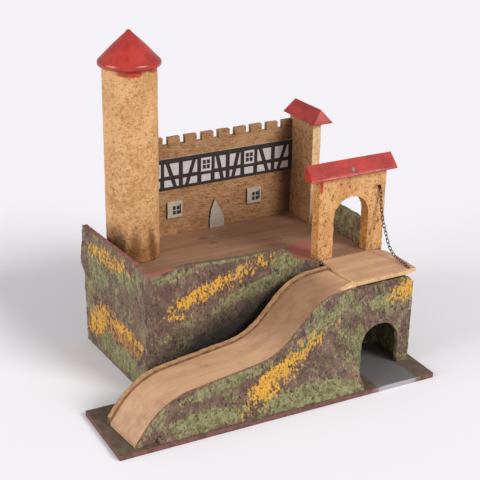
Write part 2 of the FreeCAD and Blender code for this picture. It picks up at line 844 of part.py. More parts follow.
BLOCK_BACK = "Sizes.unit_width - Sizes.unit_board"
BLOCK_HEIGHT = "Sizes.block_top - Sizes.unit_board"
back_outline = box(
    "back_outline",
    "Sizes.block_length",
    "Sizes.unit_board",
    BLOCK_HEIGHT,
    "Sizes.block_left",
    BLOCK_BACK,
    "Sizes.unit_board",
)
block_back_board = cut("block_back_board", back_outline, tunnel("back_opening", BLOCK_BACK))
node(on_unit(block_back_board), "block_back_board")
PORTAL_BACK = "Sizes.portal_front + Sizes.unit_board"
END_WALL = "Sizes.block_left + Sizes.block_length - Sizes.block_end_inset - Sizes.unit_board"
for name, left in (("block_inner_wall", "Sizes.block_left"), ("block_end_wall", END_WALL)):
    wall = box(name, "Sizes.unit_board", f"{BLOCK_BACK} - ({PORTAL_BACK})", BLOCK_HEIGHT, "0", "0", "0")
    node(on_unit(wall, left, PORTAL_BACK, "Sizes.unit_board"), name)
platform = box(
    "platform", "Sizes.platform_length", "Sizes.unit_width - Sizes.platform_front", "Sizes.platform_board", "0", "0", "0"
)
node(on_unit(platform, "Sizes.platform_left", "Sizes.platform_front", "Sizes.block_top"), "platform")


# The hill. Its boards and its road share one profile of straight runs with rounded bends.
hill_end = size("road_top_run") + size("road_level_run")


def road_edges(offset, end):
    """The edges of the road's profile, moved square to itself by offset and ended at a run."""
    marks = [
        (0.0, size("road_foot_height"), 0.0),
        (size("road_knee_run"), size("road_knee_height"), -size("road_knee_bend")),
        (size("road_terrace_end"), size("road_terrace_height"), size("road_foot_bend")),
        (size("road_top_run"), size("road_top_height"), -size("road_top_bend")),
        (hill_end, size("road_top_height"), 0.0),
    ]
    points = [Vector(run, 0, height) for run, height, bend in marks]
    ways = [(there - here).normalize() for here, there in zip(points, points[1:])]
    edges = []
    here = points[0] + Vector(-ways[0].z, 0, ways[0].x) * offset
    here = here - ways[0] * (here.x / ways[0].x)
    for index in range(1, len(points) - 1):
        before, after = ways[index - 1], ways[index]
        half_turn = before.getAngle(after) / 2
        bend = marks[index][2]
        reach = abs(bend) * math.tan(half_turn)
        inward = Vector(-before.z, 0, before.x) * (1 if bend > 0 else -1)
        middle = points[index] - before * reach + inward * abs(bend)
        radius = abs(bend) - offset if bend > 0 else abs(bend) + offset
        to_start = (points[index] - before * reach - middle).normalize()
        to_end = (points[index] + after * reach - middle).normalize()
        to_crown = (to_start + to_end).normalize()
        start, crown, finish = (middle + way * radius for way in (to_start, to_crown, to_end))
        edges.append(Part.makeLine(here, start))
        edges.append(Part.Arc(start, crown, finish).toShape())
        here = finish
    edges.append(Part.makeLine(here, Vector(end, 0, here.z)))
    return edges


def ribbon(lower, upper, thickness):
    """A solid between two runs of edges that start and end above one another, thick in depth."""
    low_ends = (lower[0].Vertexes[0].Point, lower[-1].Vertexes[-1].Point)
    high_ends = (upper[0].Vertexes[0].Point, upper[-1].Vertexes[-1].Point)
    sides = [Part.makeLine(low, high) for low, high in zip(low_ends, high_ends) if (high - low).Length > 1e-6]
    ring = Part.Wire(Part.__sortEdges__(lower + upper + sides))
    return Part.Face(ring).extrude(Vector(0, thickness, 0))


def solid_feature(name, shape):
    """A document object for a solid that is worked out in code."""
    thing = doc.addObject("Part::Feature", name)
    thing.Shape = shape
    return thing


board_foot = [Part.makeLine(Vector(0, 0, size("unit_board")), Vector(hill_end, 0, size("unit_board")))]
road_underside = road_edges(-size("road_sheet"), hill_end)
block_space = box(
    "block_space", "Sizes.unit_length", "Sizes.unit_length", "Sizes.road_top_height - Sizes.road_sheet", "0", "0", "0"
)
on_unit(block_space, "Sizes.portal_left", "0", "0")
front_contour = solid_feature("front_contour", ribbon(board_foot, road_underside, size("unit_board")))
on_hill(front_contour)
node(cut("hill_front_board", front_contour, block_space), "hill_front_board")
back_contour = solid_feature(
    "back_contour", ribbon(board_foot, road_edges(size("rail_proud"), hill_end), size("unit_board"))
)
on_hill(back_contour, "0", "Sizes.hill_width - Sizes.unit_board")
rail_space = box("rail_space", "Sizes.unit_length", "Sizes.unit_length", "Sizes.tower_top", "0", "0", "0")
on_unit(rail_space, "Sizes.portal_left", "0", "0")
node(cut("hill_back_board", back_contour, rail_space), "hill_back_board")

road_ribbon = solid_feature(
    "road_ribbon",
    ribbon(road_underside, road_edges(0.0, hill_end), size("hill_width") - size("unit_board")),
)
on_hill(road_ribbon)
bridge_space = box(
    "bridge_space",
    "Sizes.plateau_width",
    "2 * Sizes.unit_width",
    "Sizes.tower_top",
    across("Sizes.bridge_left - Sizes.road_end_gap"),
    depth("-2 * Sizes.unit_width"),
    "0",
)
node(cut("road_sheet", road_ribbon, bridge_space), "road_sheet")
kerb = outline_board(
    "kerb_wedge",
    [
        ("Sizes.kerb_run + Sizes.kerb_length * 3 / 4", "0"),
        ("Sizes.kerb_run + Sizes.kerb_length * 5 / 4", "0"),
        ("Sizes.kerb_run + Sizes.kerb_length * 5 / 4", "Sizes.kerb_height"),
    ],
    "Sizes.kerb_width",
)
on_hill(kerb, "0", "Sizes.kerb_width / 2", "Sizes.road_top_height")
node(kerb, "kerb_wedge")


def bank_section(run, height):
    """A triangle across the bank at the hill's foot, from the hill's board to the base board's front."""
    hill_turn, unit_turn = (math.radians(size(name)) for name in ("hill_turn", "unit_turn"))
    back = Vector(
        size("hill_left") + run * math.cos(hill_turn) - size("plateau_width") / 2,
        size("hill_front") + run * math.sin(hill_turn) - size("wall_board") / 2,
        size("unit_board"),
    )
    from_unit = back.x + size("plateau_width") / 2 - size("unit_left")
    front_edge = size("unit_front") + from_unit * math.tan(unit_turn) + size("foot_bank_margin")
    front = Vector(back.x, front_edge - size("wall_board") / 2, back.z)
    return Part.makePolygon([back, front, back + Vector(0, 0, height), back])


bank_sections = [
    bank_section(size("foot_bank_run"), size("foot_bank_low")),
    bank_section(size("foot_bank_end"), size("foot_bank_high")),
]
node(solid_feature("hill_foot_bank", Part.makeLoft(bank_sections, True, True)), "hill_foot_bank")


# The chain: links from the peg behind the gatehouse, through its hole and down to the drawbridge's pin.
# The slack curve is given as shares of the way back and down from the hole's mouth to the pin.
BEND_FACETS = 6
WIRE_FACETS = 6
RIGHT_CORNERS = 1
CHAIN_SAG = [
    (0.024, 0.018),
    (0.046, 0.060),
    (0.059, 0.120),
    (0.072, 0.233),
    (0.127, 0.389),
    (0.187, 0.529),
    (0.272, 0.650),
    (0.343, 0.771),
    (0.451, 0.881),
    (0.598, 0.944),
    (0.752, 0.963),
    (0.866, 0.971),
    (0.941, 0.974),
]


def chain_link():
    """One link, lying along X with its opening upward: a faceted wire bent round two half turns."""
    wire = size("link_wire_radius")
    straight = size("link_length") / 2 - size("link_width") / 2
    arm = size("link_width") / 2 - wire
    steps = range(BEND_FACETS + 1)
    angles = [math.pi / 2 - math.pi * step / BEND_FACETS for step in steps]
    right_end = [Vector(straight + arm * math.cos(angle), arm * math.sin(angle), 0) for angle in angles]
    course = right_end + [-point for point in right_end]
    start = (course[0] + course[-1]) / 2
    turns = [math.tau * (side + 0.5) / WIRE_FACETS for side in range(WIRE_FACETS)]
    ring = [start + Vector(0, wire * math.cos(turn), wire * math.sin(turn)) for turn in turns]
    path = Part.makePolygon([start, *course, start])
    section = Part.makePolygon([*ring, ring[0]])
    return path.makePipeShell([section], True, False, RIGHT_CORNERS)


def chain_course():
    """The line of the hanging chain in its upright plane: level in the hole, then a slack curve down to the pin."""
    wire = size("link_wire_radius")
    reach = wire + size("link_gap") / 2
    peg_back = size("gate_front") + size("gate_thickness") + 2 * size("chain_peg_radius") + size("chain_pin_play")
    pin_back = size("chain_pin_back") - size("bridge_front")
    pin_front = pin_back - size("chain_pin_radius") - size("chain_pin_play") - wire
    mouth = Vector(0, size("gate_front"), size("chain_hole_height"))
    foot = Vector(0, pin_back, size("deck_top"))
    course = [Vector(0, peg_back + wire - reach, mouth.z), mouth]
    for back_share, fall_share in CHAIN_SAG:
        back = mouth.y + back_share * (foot.y - mouth.y)
        course.append(Vector(0, back, mouth.z + fall_share * (foot.z - mouth.z)))
    course.append(Vector(0, pin_front + reach, foot.z + wire + size("link_gap")))
    shift = Vector(size("chain_hole_across") - size("plateau_width") / 2, -size("wall_board") / 2, 0)
    return Part.makePolygon([point + shift for point in course])


def chain_links():
    """The links end to end. Every second one is turned a quarter, and the last lies flat on the drawbridge."""
    course = chain_course()
    pitch = size("link_length") - 4 * size("link_wire_radius") - size("link_gap")
    count = 2 * round(course.Length / pitch / 2)
    knots = course.discretize(Number=count + 1)
    right = Vector(1, 0, 0)
    links = []
    for index, (here, there) in enumerate(zip(knots, knots[1:])):
        way = (there - here).normalize()
        opening = right if index % 2 == 0 else right.cross(way)
        link = chain_link()
        link.Placement = Placement((here + there) / 2, Rotation(way, Vector(), opening, "XZY"))
        links.append(link)
    return links


node(solid_feature("chain", Part.makeCompound(chain_links())), "chain")

doc.recompute()
for thing in doc.Objects:
    if {"Invalid", "Error"} & set(thing.State):
        raise RuntimeError(f"{thing.Name} didn't compute: {thing.State}")

os.makedirs("parts", exist_ok=True)
for thing in NODES:
    shape = thing.Shape
    if shape.isNull() or not shape.isValid() or not shape.Solids:
        raise RuntimeError(f"{thing.Label} has no sound shape")
    shape.exportStep(f"parts/{thing.Label}.step")
    reach = shape.BoundBox
    print(f"{thing.Label}: {len(shape.Solids)} solid(s), {reach.XLength:.1f} x {reach.YLength:.1f} x {reach.ZLength:.1f}")
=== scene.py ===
"""Looks of a toy castle: coated boards, red roofs, a half-timber strip, a painted road and a chain."""

import json
import logging
import math
from collections.abc import Callable, Iterable
from dataclasses import dataclass, field
from enum import Enum

import bmesh
import bpy
from mathutils import Matrix, Vector, noise

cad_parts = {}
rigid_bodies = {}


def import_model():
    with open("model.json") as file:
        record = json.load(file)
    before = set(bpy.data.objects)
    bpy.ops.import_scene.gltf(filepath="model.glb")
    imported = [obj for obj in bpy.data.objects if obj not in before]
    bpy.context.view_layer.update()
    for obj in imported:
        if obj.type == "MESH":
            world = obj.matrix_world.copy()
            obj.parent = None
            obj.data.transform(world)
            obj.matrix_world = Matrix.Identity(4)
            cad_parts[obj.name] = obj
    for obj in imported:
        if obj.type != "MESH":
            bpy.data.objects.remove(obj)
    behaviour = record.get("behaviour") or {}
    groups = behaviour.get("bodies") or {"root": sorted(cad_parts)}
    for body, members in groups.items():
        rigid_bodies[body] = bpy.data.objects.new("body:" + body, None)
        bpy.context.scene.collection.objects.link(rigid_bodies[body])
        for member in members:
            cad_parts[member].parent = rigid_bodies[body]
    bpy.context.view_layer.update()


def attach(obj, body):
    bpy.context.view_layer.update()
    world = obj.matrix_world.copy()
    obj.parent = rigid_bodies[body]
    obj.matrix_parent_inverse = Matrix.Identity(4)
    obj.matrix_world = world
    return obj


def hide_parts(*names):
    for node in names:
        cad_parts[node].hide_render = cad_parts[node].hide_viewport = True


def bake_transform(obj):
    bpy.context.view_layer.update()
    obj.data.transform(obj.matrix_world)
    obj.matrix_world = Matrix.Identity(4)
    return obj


LOG = logging.getLogger("castle")
MM = 0.001
CASTLE = "castle"
BRIDGE = "drawbridge"
PLATEAU_LEFT = -132.0
PLATEAU_FRONT = -2.5

Colour = tuple[float, float, float, float]
Triple = tuple[float, float, float]


def at(across: float, back: float, height: float) -> Vector:
    """A point given in mm from the plateau's left face, its front face and the table, in metres."""
    return Vector((across + PLATEAU_LEFT, back + PLATEAU_FRONT, height)) * MM


def srgb(red: float, green: float, blue: float) -> Colour:
    """A screen colour as the linear colour that a shader takes.

    Args:
        red: its red, 0 to 255.
        green: its green.
        blue: its blue.

    Returns:
        The linear colour.
    """

    def linear(part: float) -> float:
        """One channel, made linear."""
        share = part / 255
        return share / 12.92 if share <= 0.04045 else ((share + 0.055) / 1.055) ** 2.4

    return linear(red), linear(green), linear(blue), 1.0


class Plane(Enum):
    """The plane that a painted patch is measured in."""

    FRONT = (0, 2)
    SIDE = (1, 2)
    TOP = (0, 1)


@dataclass
class Value:
    """A number socket of a material's nodes, whose operators add Math nodes."""

    paint: "Paint"
    socket: bpy.types.NodeSocket

    def _with(self, operation: str, *terms: "Value | float") -> "Value":
        """Adds a Math node.

        Args:
            operation: the node's operation.
            terms: its inputs in order.

        Returns:
            The node's result.
        """
        return self.paint.number("ShaderNodeMath", {"operation": operation}, dict(enumerate(terms)))

    def __add__(self, other: "Value | float") -> "Value":
        """The sum."""
        return self._with("ADD", self, other)

    __radd__ = __add__

    def __sub__(self, other: "Value | float") -> "Value":
        """The difference."""
        return self._with("SUBTRACT", self, other)

    def __rsub__(self, other: float) -> "Value":
        """The difference from a number."""
        return self._with("SUBTRACT", other, self)

    def __mul__(self, other: "Value | float") -> "Value":
        """The product."""
        return self._with("MULTIPLY", self, other)

    __rmul__ = __mul__

    def __pow__(self, other: float) -> "Value":
        """The power."""
        return self._with("POWER", self, other)

    def high(self, other: "Value | float") -> "Value":
        """The larger one."""
        return self._with("MAXIMUM", self, other)

    def size(self) -> "Value":
        """The number without its sign."""
        return self._with("ABSOLUTE", self)

    def fade(self, start: float, end: float, low: float = 0.0, high: float = 1.0) -> "Value":
        """A soft step.

        Args:
            start: where the step starts.
            end: where it ends.
            low: the result at the start.
            high: the result at the end.

        Returns:
            The stepped number.
        """
        if start > end:
            start, end, low, high = end, start, high, low
        values = {0: self, 1: start, 2: end, 3: low, 4: high}
        return self.paint.number("ShaderNodeMapRange", {"interpolation_type": "SMOOTHSTEP"}, values)


class Paint:
    """One material and the nodes behind its surface."""

    def __init__(self, name: str, roughness: float = 0.8, metallic: float = 0.0, coat: float = 0.0) -> None:
        """Makes the material.

        Args:
            name: the material's name.
            roughness: how matt it is.
            metallic: 1 on bare metal.
            coat: the weight of a clear gloss over it.
        """
        self.material = bpy.data.materials.new(name)
        self.material.use_nodes = True
        self.nodes = self.material.node_tree.nodes
        self.links = self.material.node_tree.links
        self.surface = self.nodes["Principled BSDF"]
        self.surface.inputs["Roughness"].default_value = roughness
        self.surface.inputs["Metallic"].default_value = metallic
        self.surface.inputs["Coat Weight"].default_value = coat
        self.surface.inputs["Coat Roughness"].default_value = 0.15
        place = self.node("ShaderNodeTexCoord", {}, {}).outputs["Object"]
        self.place = self.node(
            "ShaderNodeVectorMath", {"operation": "SCALE"}, {0: place, "Scale": 1 / MM}
        ).outputs[0]
        split = self.node("ShaderNodeSeparateXYZ", {}, {0: self.place})
        x, y, z = (Value(self, split.outputs[axis]) for axis in range(3))
        self.axes = (x - PLATEAU_LEFT, y - PLATEAU_FRONT, z)

    def node(self, kind: str, settings: dict[str, object], inputs: dict[int | str, object]) -> bpy.types.Node:
        """Adds a node.

        Args:
            kind: the node's type.
            settings: its own settings, set first.
            inputs: values or links for its sockets.

        Returns:
            The node.
        """
        made = self.nodes.new(kind)
        for name, value in settings.items():
            setattr(made, name, value)
        for name, value in inputs.items():
            if isinstance(value, Value):
                value = value.socket
            if isinstance(value, bpy.types.NodeSocket):
                self.links.new(value, made.inputs[name])
            else:
                made.inputs[name].default_value = value
        return made

    def number(self, kind: str, settings: dict[str, object], inputs: dict[int | str, object]) -> Value:
        """Adds a node and gives its first output as a number."""
        return Value(self, self.node(kind, settings, inputs).outputs[0])

    def stretched(self, scale: Triple) -> bpy.types.NodeSocket:
        """The place, scaled along each axis."""
        return self.node("ShaderNodeMapping", {}, {0: self.place, "Scale": scale}).outputs[0]

    def cloud(self, grain: float, detail: float = 2.0, place: object = None, shift: float = 0.0) -> Value:
        """Soft noise.

        Args:
            grain: the size of its blotches in mm.
            detail: how many finer layers it has.
            place: another place than the plain one.
            shift: sets it apart from another cloud of the same grain.

        Returns:
            The noise, near 0.5.
        """
        settings = {"noise_dimensions": "4D"}
        inputs = {"Vector": place or self.place, "W": shift, "Scale": 1 / grain, "Detail": detail, "Roughness": 0.6}
        return self.number("ShaderNodeTexNoise", settings, inputs)

    def mix(self, share: Value | float, low: object, high: object) -> object:
        """A colour between two colours."""
        return self.node("ShaderNodeMix", {"data_type": "RGBA"}, {"Factor": share, 6: low, 7: high}).outputs[2]

    def patch(self, streak: "Streak", shift: float = 0.0) -> Value:
        """A ragged oval or square field.

        Args:
            streak: its plane, place and shape.
            shift: sets its ragged edge apart from another one's.

        Returns:
            1 at its middle, falling to 0 at its edge.
        """
        across, along = (self.axes[axis] for axis in streak.plane.value)
        across, along = across - streak.centre[0], along - streak.centre[1]
        cosine, sine = math.cos(math.radians(streak.lean)), math.sin(math.radians(streak.lean))
        length = ((across * cosine + along * sine) * (1 / streak.reach[0])).size()
        width = ((along * cosine - across * sine) * (1 / streak.reach[1])).size()
        power = 8.0 if streak.square else 2.0
        distance = (length**power + width**power) ** (1 / power)
        ragged = (self.cloud(streak.grain, 3.0, shift=shift) - 0.5) * (2 * streak.ragged)
        return (distance + ragged).fade(1.0 + streak.soft, 1.0 - streak.soft)

    def finish(
        self, colour: object, height: Value | None = None, depth: float = 0.5, roughness: Value | None = None
    ) -> bpy.types.Material:
        """Links the surface.

        Args:
            colour: the base colour.
            height: what its relief follows.
            depth: the relief in mm.
            roughness: a roughness that varies.

        Returns:
            The material.
        """
        if isinstance(colour, tuple):
            self.surface.inputs["Base Color"].default_value = colour
        else:
            self.links.new(colour, self.surface.inputs["Base Color"])
        if height is not None:
            bump = self.node("ShaderNodeBump", {}, {"Height": height, "Distance": depth * MM, "Strength": 1.0})
            self.links.new(bump.outputs[0], self.surface.inputs["Normal"])
        if roughness is not None:
            self.links.new(roughness.socket, self.surface.inputs["Roughness"])
        return self.material


@dataclass(frozen=True)
class Streak:
    """A patch of another colour: its middle and half sizes in mm, its turn in degrees and its edge."""

    plane: Plane
    centre: tuple[float, float]
    reach: tuple[float, float]
    lean: float
    colour: Colour
    cover: float = 0.8
    ragged: float = 0.6
    grain: float = 7.0
    soft: float = 0.3
    square: bool = False


YELLOW = srgb(224, 168, 58)
ORANGE = srgb(204, 142, 56)
SOOT = srgb(74, 44, 22)
SHADE_BLACK = srgb(24, 16, 12)
GRIME = srgb(104, 74, 52)
KNOT = srgb(104, 72, 50)

BRUSH_BARE = 0.70
BRUSH_GAIN = 0.17

FLAT_ANGLE = math.radians(0.5)
WORN_ANGLE = math.radians(50)
MERGE_DISTANCE = 0.002 * MM


def with_streaks(
    paint: Paint, colour: object, streaks: Iterable[Streak], catch: Value | None = None, shift: float = 10.0
) -> object:
    """Lays patches of colour over a coat.

    Args:
        paint: the coat's material.
        colour: the coat's colour.
        streaks: the patches.
        catch: the coat's relief, whose raised grains alone catch a dry brush, or None for an even wash.
        shift: sets their ragged edges apart from those of other patches.

    Returns:
        The colour with the patches.
    """
    for order, streak in enumerate(streaks):
        mask = paint.patch(streak, shift + order)
        if catch is None:
            share = mask * streak.cover
        else:
            start = BRUSH_BARE - BRUSH_GAIN * streak.cover
            share = (catch + mask * 0.12).fade(start, start + 0.09) * mask.fade(0.0, 0.3)
        colour = paint.mix(share, colour, streak.colour)
    return colour


def darker(colour: Colour, share: float) -> Colour:
    """A darker tone of a colour."""
    return *(part * share for part in colour[:3]), colour[3]


@dataclass(frozen=True)
class SandCoat:
    """Ochre paint over sand or sawdust: pitted, lumpy and lighter where it stands proud."""

    name: str
    base: Colour = srgb(200, 146, 92)
    pale: Colour = srgb(224, 174, 120)
    pit: Colour = srgb(150, 96, 50)
    pits: float = 0.7
    grain: float = 1.6
    depth: float = 0.9
    flow: Triple = (1.0, 1.0, 1.0)
    streaks: tuple[Streak, ...] = ()

    def make(self) -> bpy.types.Material:
        """Makes the material.

        Returns:
            The material.
        """
        paint = Paint(self.name, roughness=0.8)
        place = paint.stretched(self.flow)
        grit = paint.cloud(self.grain, 3.0, place)
        lumps = paint.cloud(self.grain * 2.4, 2.0, place, 3.0)
        height = grit * 0.5 + lumps * 0.5
        wash = paint.cloud(26.0, 3.0, shift=5.0)
        colour = paint.mix((height + (wash - 0.5) * 0.5).fade(0.42, 0.60), self.base, self.pale)
        colour = paint.mix(height.fade(0.45, 0.36) * self.pits, colour, self.pit)
        deep = paint.cloud(self.grain * 1.3, 2.0, place, 6.0).fade(0.36, 0.29)
        colour = paint.mix(deep * self.pits, colour, darker(self.pit, 0.45))
        colour = with_streaks(paint, colour, self.streaks)
        relief = height - deep * 0.12
        return paint.finish(colour, relief, self.depth * 3.0)


@dataclass(frozen=True)
class RockCoat:
    """A lumpy sawdust coat in plum brown, dry-brushed with moss green and broken yellow streaks, with patches of
    painted shade.
    """

    name: str
    moss: float = 0.5
    grain: float = 1.7
    depth: float = 1.0
    flow: Triple = (1.0, 1.0, 0.55)
    greens: tuple[Streak, ...] = ()
    streaks: tuple[Streak, ...] = ()
    painted_shade: tuple[Streak, ...] = ()
    plum: Colour = srgb(126, 99, 84)
    plum_dark: Colour = srgb(102, 77, 66)
    proud: Colour = srgb(162, 138, 112)
    leaf: Colour = srgb(110, 112, 66)
    leaf_pale: Colour = srgb(156, 154, 106)
    hollow: Colour = srgb(50, 38, 28)

    def make(self) -> bpy.types.Material:
        """Makes the material.

        Returns:
            The material.
        """
        paint = Paint(self.name, roughness=0.8)
        place = paint.stretched(self.flow)
        grit = paint.cloud(self.grain, 3.0, place)
        lumps = paint.cloud(self.grain * 2.6, 2.0, place, 2.0)
        height = grit * 0.55 + lumps * 0.45
        plum = paint.mix(paint.cloud(13.0, 3.0, shift=4.0).fade(0.36, 0.62), self.plum, self.plum_dark)
        tan = (height + (paint.cloud(17.0, 3.0, shift=5.0) - 0.5) * 0.5).fade(0.50, 0.64)
        colour = paint.mix(tan * 0.7, plum, self.proud)
        where = paint.cloud(21.0, 3.0, shift=7.0)
        for order, green in enumerate(self.greens):
            where = where.high(paint.patch(green, 30.0 + order) * green.cover)
        brush = (height + (where - 0.5) * 0.9 + 0.22 * (self.moss - 0.5)).fade(0.47, 0.60)
        leaf = paint.mix(paint.cloud(5.0, 3.0, shift=8.0).fade(0.35, 0.62), self.leaf, self.leaf_pale)
        colour = paint.mix(brush * 0.85, colour, leaf)
        colour = with_streaks(paint, colour, self.streaks, height)
        holes = paint.cloud(self.grain * 1.1, 2.0, place, 12.0).fade(0.40, 0.32)
        dark = height.fade(0.46, 0.36).high(holes)
        colour = paint.mix(dark * 0.78, colour, self.hollow)
        # patches of painted shade, laid over the coat as a dark wash
        colour = with_streaks(paint, colour, self.painted_shade, shift=40.0)
        return paint.finish(colour, height - holes * 0.1, self.depth * 3.8)


@dataclass(frozen=True)
class GlossPaint:
    """Glossy brushed paint with faint strokes and small chips."""

    name: str
    base: Colour = srgb(182, 50, 38)
    dark: Colour = srgb(156, 38, 30)
    strokes: Triple = (1.0, 1.0, 1.0)
    stroke: Colour = srgb(196, 78, 60)
    chip: Colour = srgb(226, 178, 150)
    roughness: float = 0.42

    def make(self) -> bpy.types.Material:
        """Makes the material.

        Returns:
            The material.
        """
        paint = Paint(self.name, roughness=self.roughness, coat=0.2)
        brush = paint.cloud(2.4, 3.0, paint.stretched(self.strokes))
        wash = paint.cloud(14.0, 3.0, shift=2.0)
        colour = paint.mix(wash.fade(0.35, 0.65), self.base, self.dark)
        colour = paint.mix(brush.fade(0.58, 0.74) * 0.35, colour, self.stroke)
        chips = paint.cloud(3.0, 4.0, shift=6.0).fade(0.73, 0.78)
        colour = paint.mix(chips * 0.7, colour, self.chip)
        rough = paint.cloud(6.0, 3.0, shift=9.0).fade(0.3, 0.7, self.roughness - 0.1, self.roughness + 0.14)
        return paint.finish(colour, brush * 0.5 + wash, 0.25, rough)


@dataclass(frozen=True)
class StainedWood:
    """Thinly stained wood with grain along one way, dirt, knots and patches of painted shade."""

    name: str
    base: Colour
    dark: Colour
    along: Triple = (0.06, 1.0, 1.0)
    grain: float = 2.2
    contrast: float = 0.6
    roughness: float = 0.6
    dirt: float = 0.35
    knots: tuple[tuple[float, float], ...] = ()
    streaks: tuple[Streak, ...] = ()
    painted_shading: tuple[Streak, ...] = ()

    def make(self) -> bpy.types.Material:
        """Makes the material.

        Returns:
            The material.
        """
        paint = Paint(self.name, roughness=self.roughness)
        warp = paint.cloud(30.0, 2.0)
        fibres = paint.cloud(self.grain, 4.0, paint.stretched(self.along))
        rings = paint.cloud(self.grain * 3.0, 2.0, paint.stretched(self.along), 4.0) + (warp - 0.5) * 0.2
        colour = paint.mix(rings.fade(0.36, 0.64) * self.contrast, self.base, self.dark)
        colour = paint.mix(fibres.fade(0.56, 0.74) * self.contrast * 0.7, colour, self.dark)
        soil = paint.cloud(20.0, 4.0, shift=6.0).fade(0.5, 0.74) * self.dirt
        colour = paint.mix(soil, colour, GRIME)
        knots = (Streak(Plane.TOP, knot, (5.0, 3.0), 0.0, KNOT, 0.7, 0.2, 3.0, 0.6) for knot in self.knots)
        colour = with_streaks(paint, colour, knots)
        colour = with_streaks(paint, colour, self.streaks)
        # patches of painted shade, laid as an even darker wash
        colour = with_streaks(paint, colour, self.painted_shading, shift=60.0)
        rough = fibres.fade(0.3, 0.7, self.roughness - 0.08, self.roughness + 0.14)
        return paint.finish(colour, fibres + rings * 0.5, 0.22, rough)


@dataclass(frozen=True)
class PlainPaint:
    """Matt paint that is mottled a little."""

    name: str
    base: Colour
    dark: Colour
    grain: float = 5.0
    cover: float = 0.5
    roughness: float = 0.7
    depth: float = 0.15
    metallic: float = 0.0
    streaks: tuple[Streak, ...] = ()

    def make(self) -> bpy.types.Material:
        """Makes the material.

        Returns:
            The material.
        """
        paint = Paint(self.name, roughness=self.roughness, metallic=self.metallic)
        blotch = paint.cloud(self.grain, 4.0)
        colour = paint.mix(blotch.fade(0.4, 0.66) * self.cover, self.base, self.dark)
        colour = with_streaks(paint, colour, self.streaks)
        fine = paint.cloud(self.grain * 0.25, 3.0, shift=2.0)
        return paint.finish(colour, fine + blotch, self.depth)


@dataclass(frozen=True)
class Relief:
    """How far a worked surface stands off the plain board, and the size of its lumps, in mm."""

    coarse: float = 0.3
    coarse_size: float = 12.0
    fine: float = 0.15
    fine_size: float = 4.0

    def push(self, point: Vector) -> float:
        """The push at a point.

        Args:
            point: the point in metres.

        Returns:
            The push in mm.
        """
        here = point / MM
        coarse = noise.fractal(here / self.coarse_size, 0.8, 2.0, 3)
        fine = noise.fractal(here / self.fine_size + Vector((7.0, 3.0, 5.0)), 0.8, 2.0, 2)
        return self.coarse * coarse + self.fine * fine


Rule = Callable[[bmesh.types.BMFace], int]


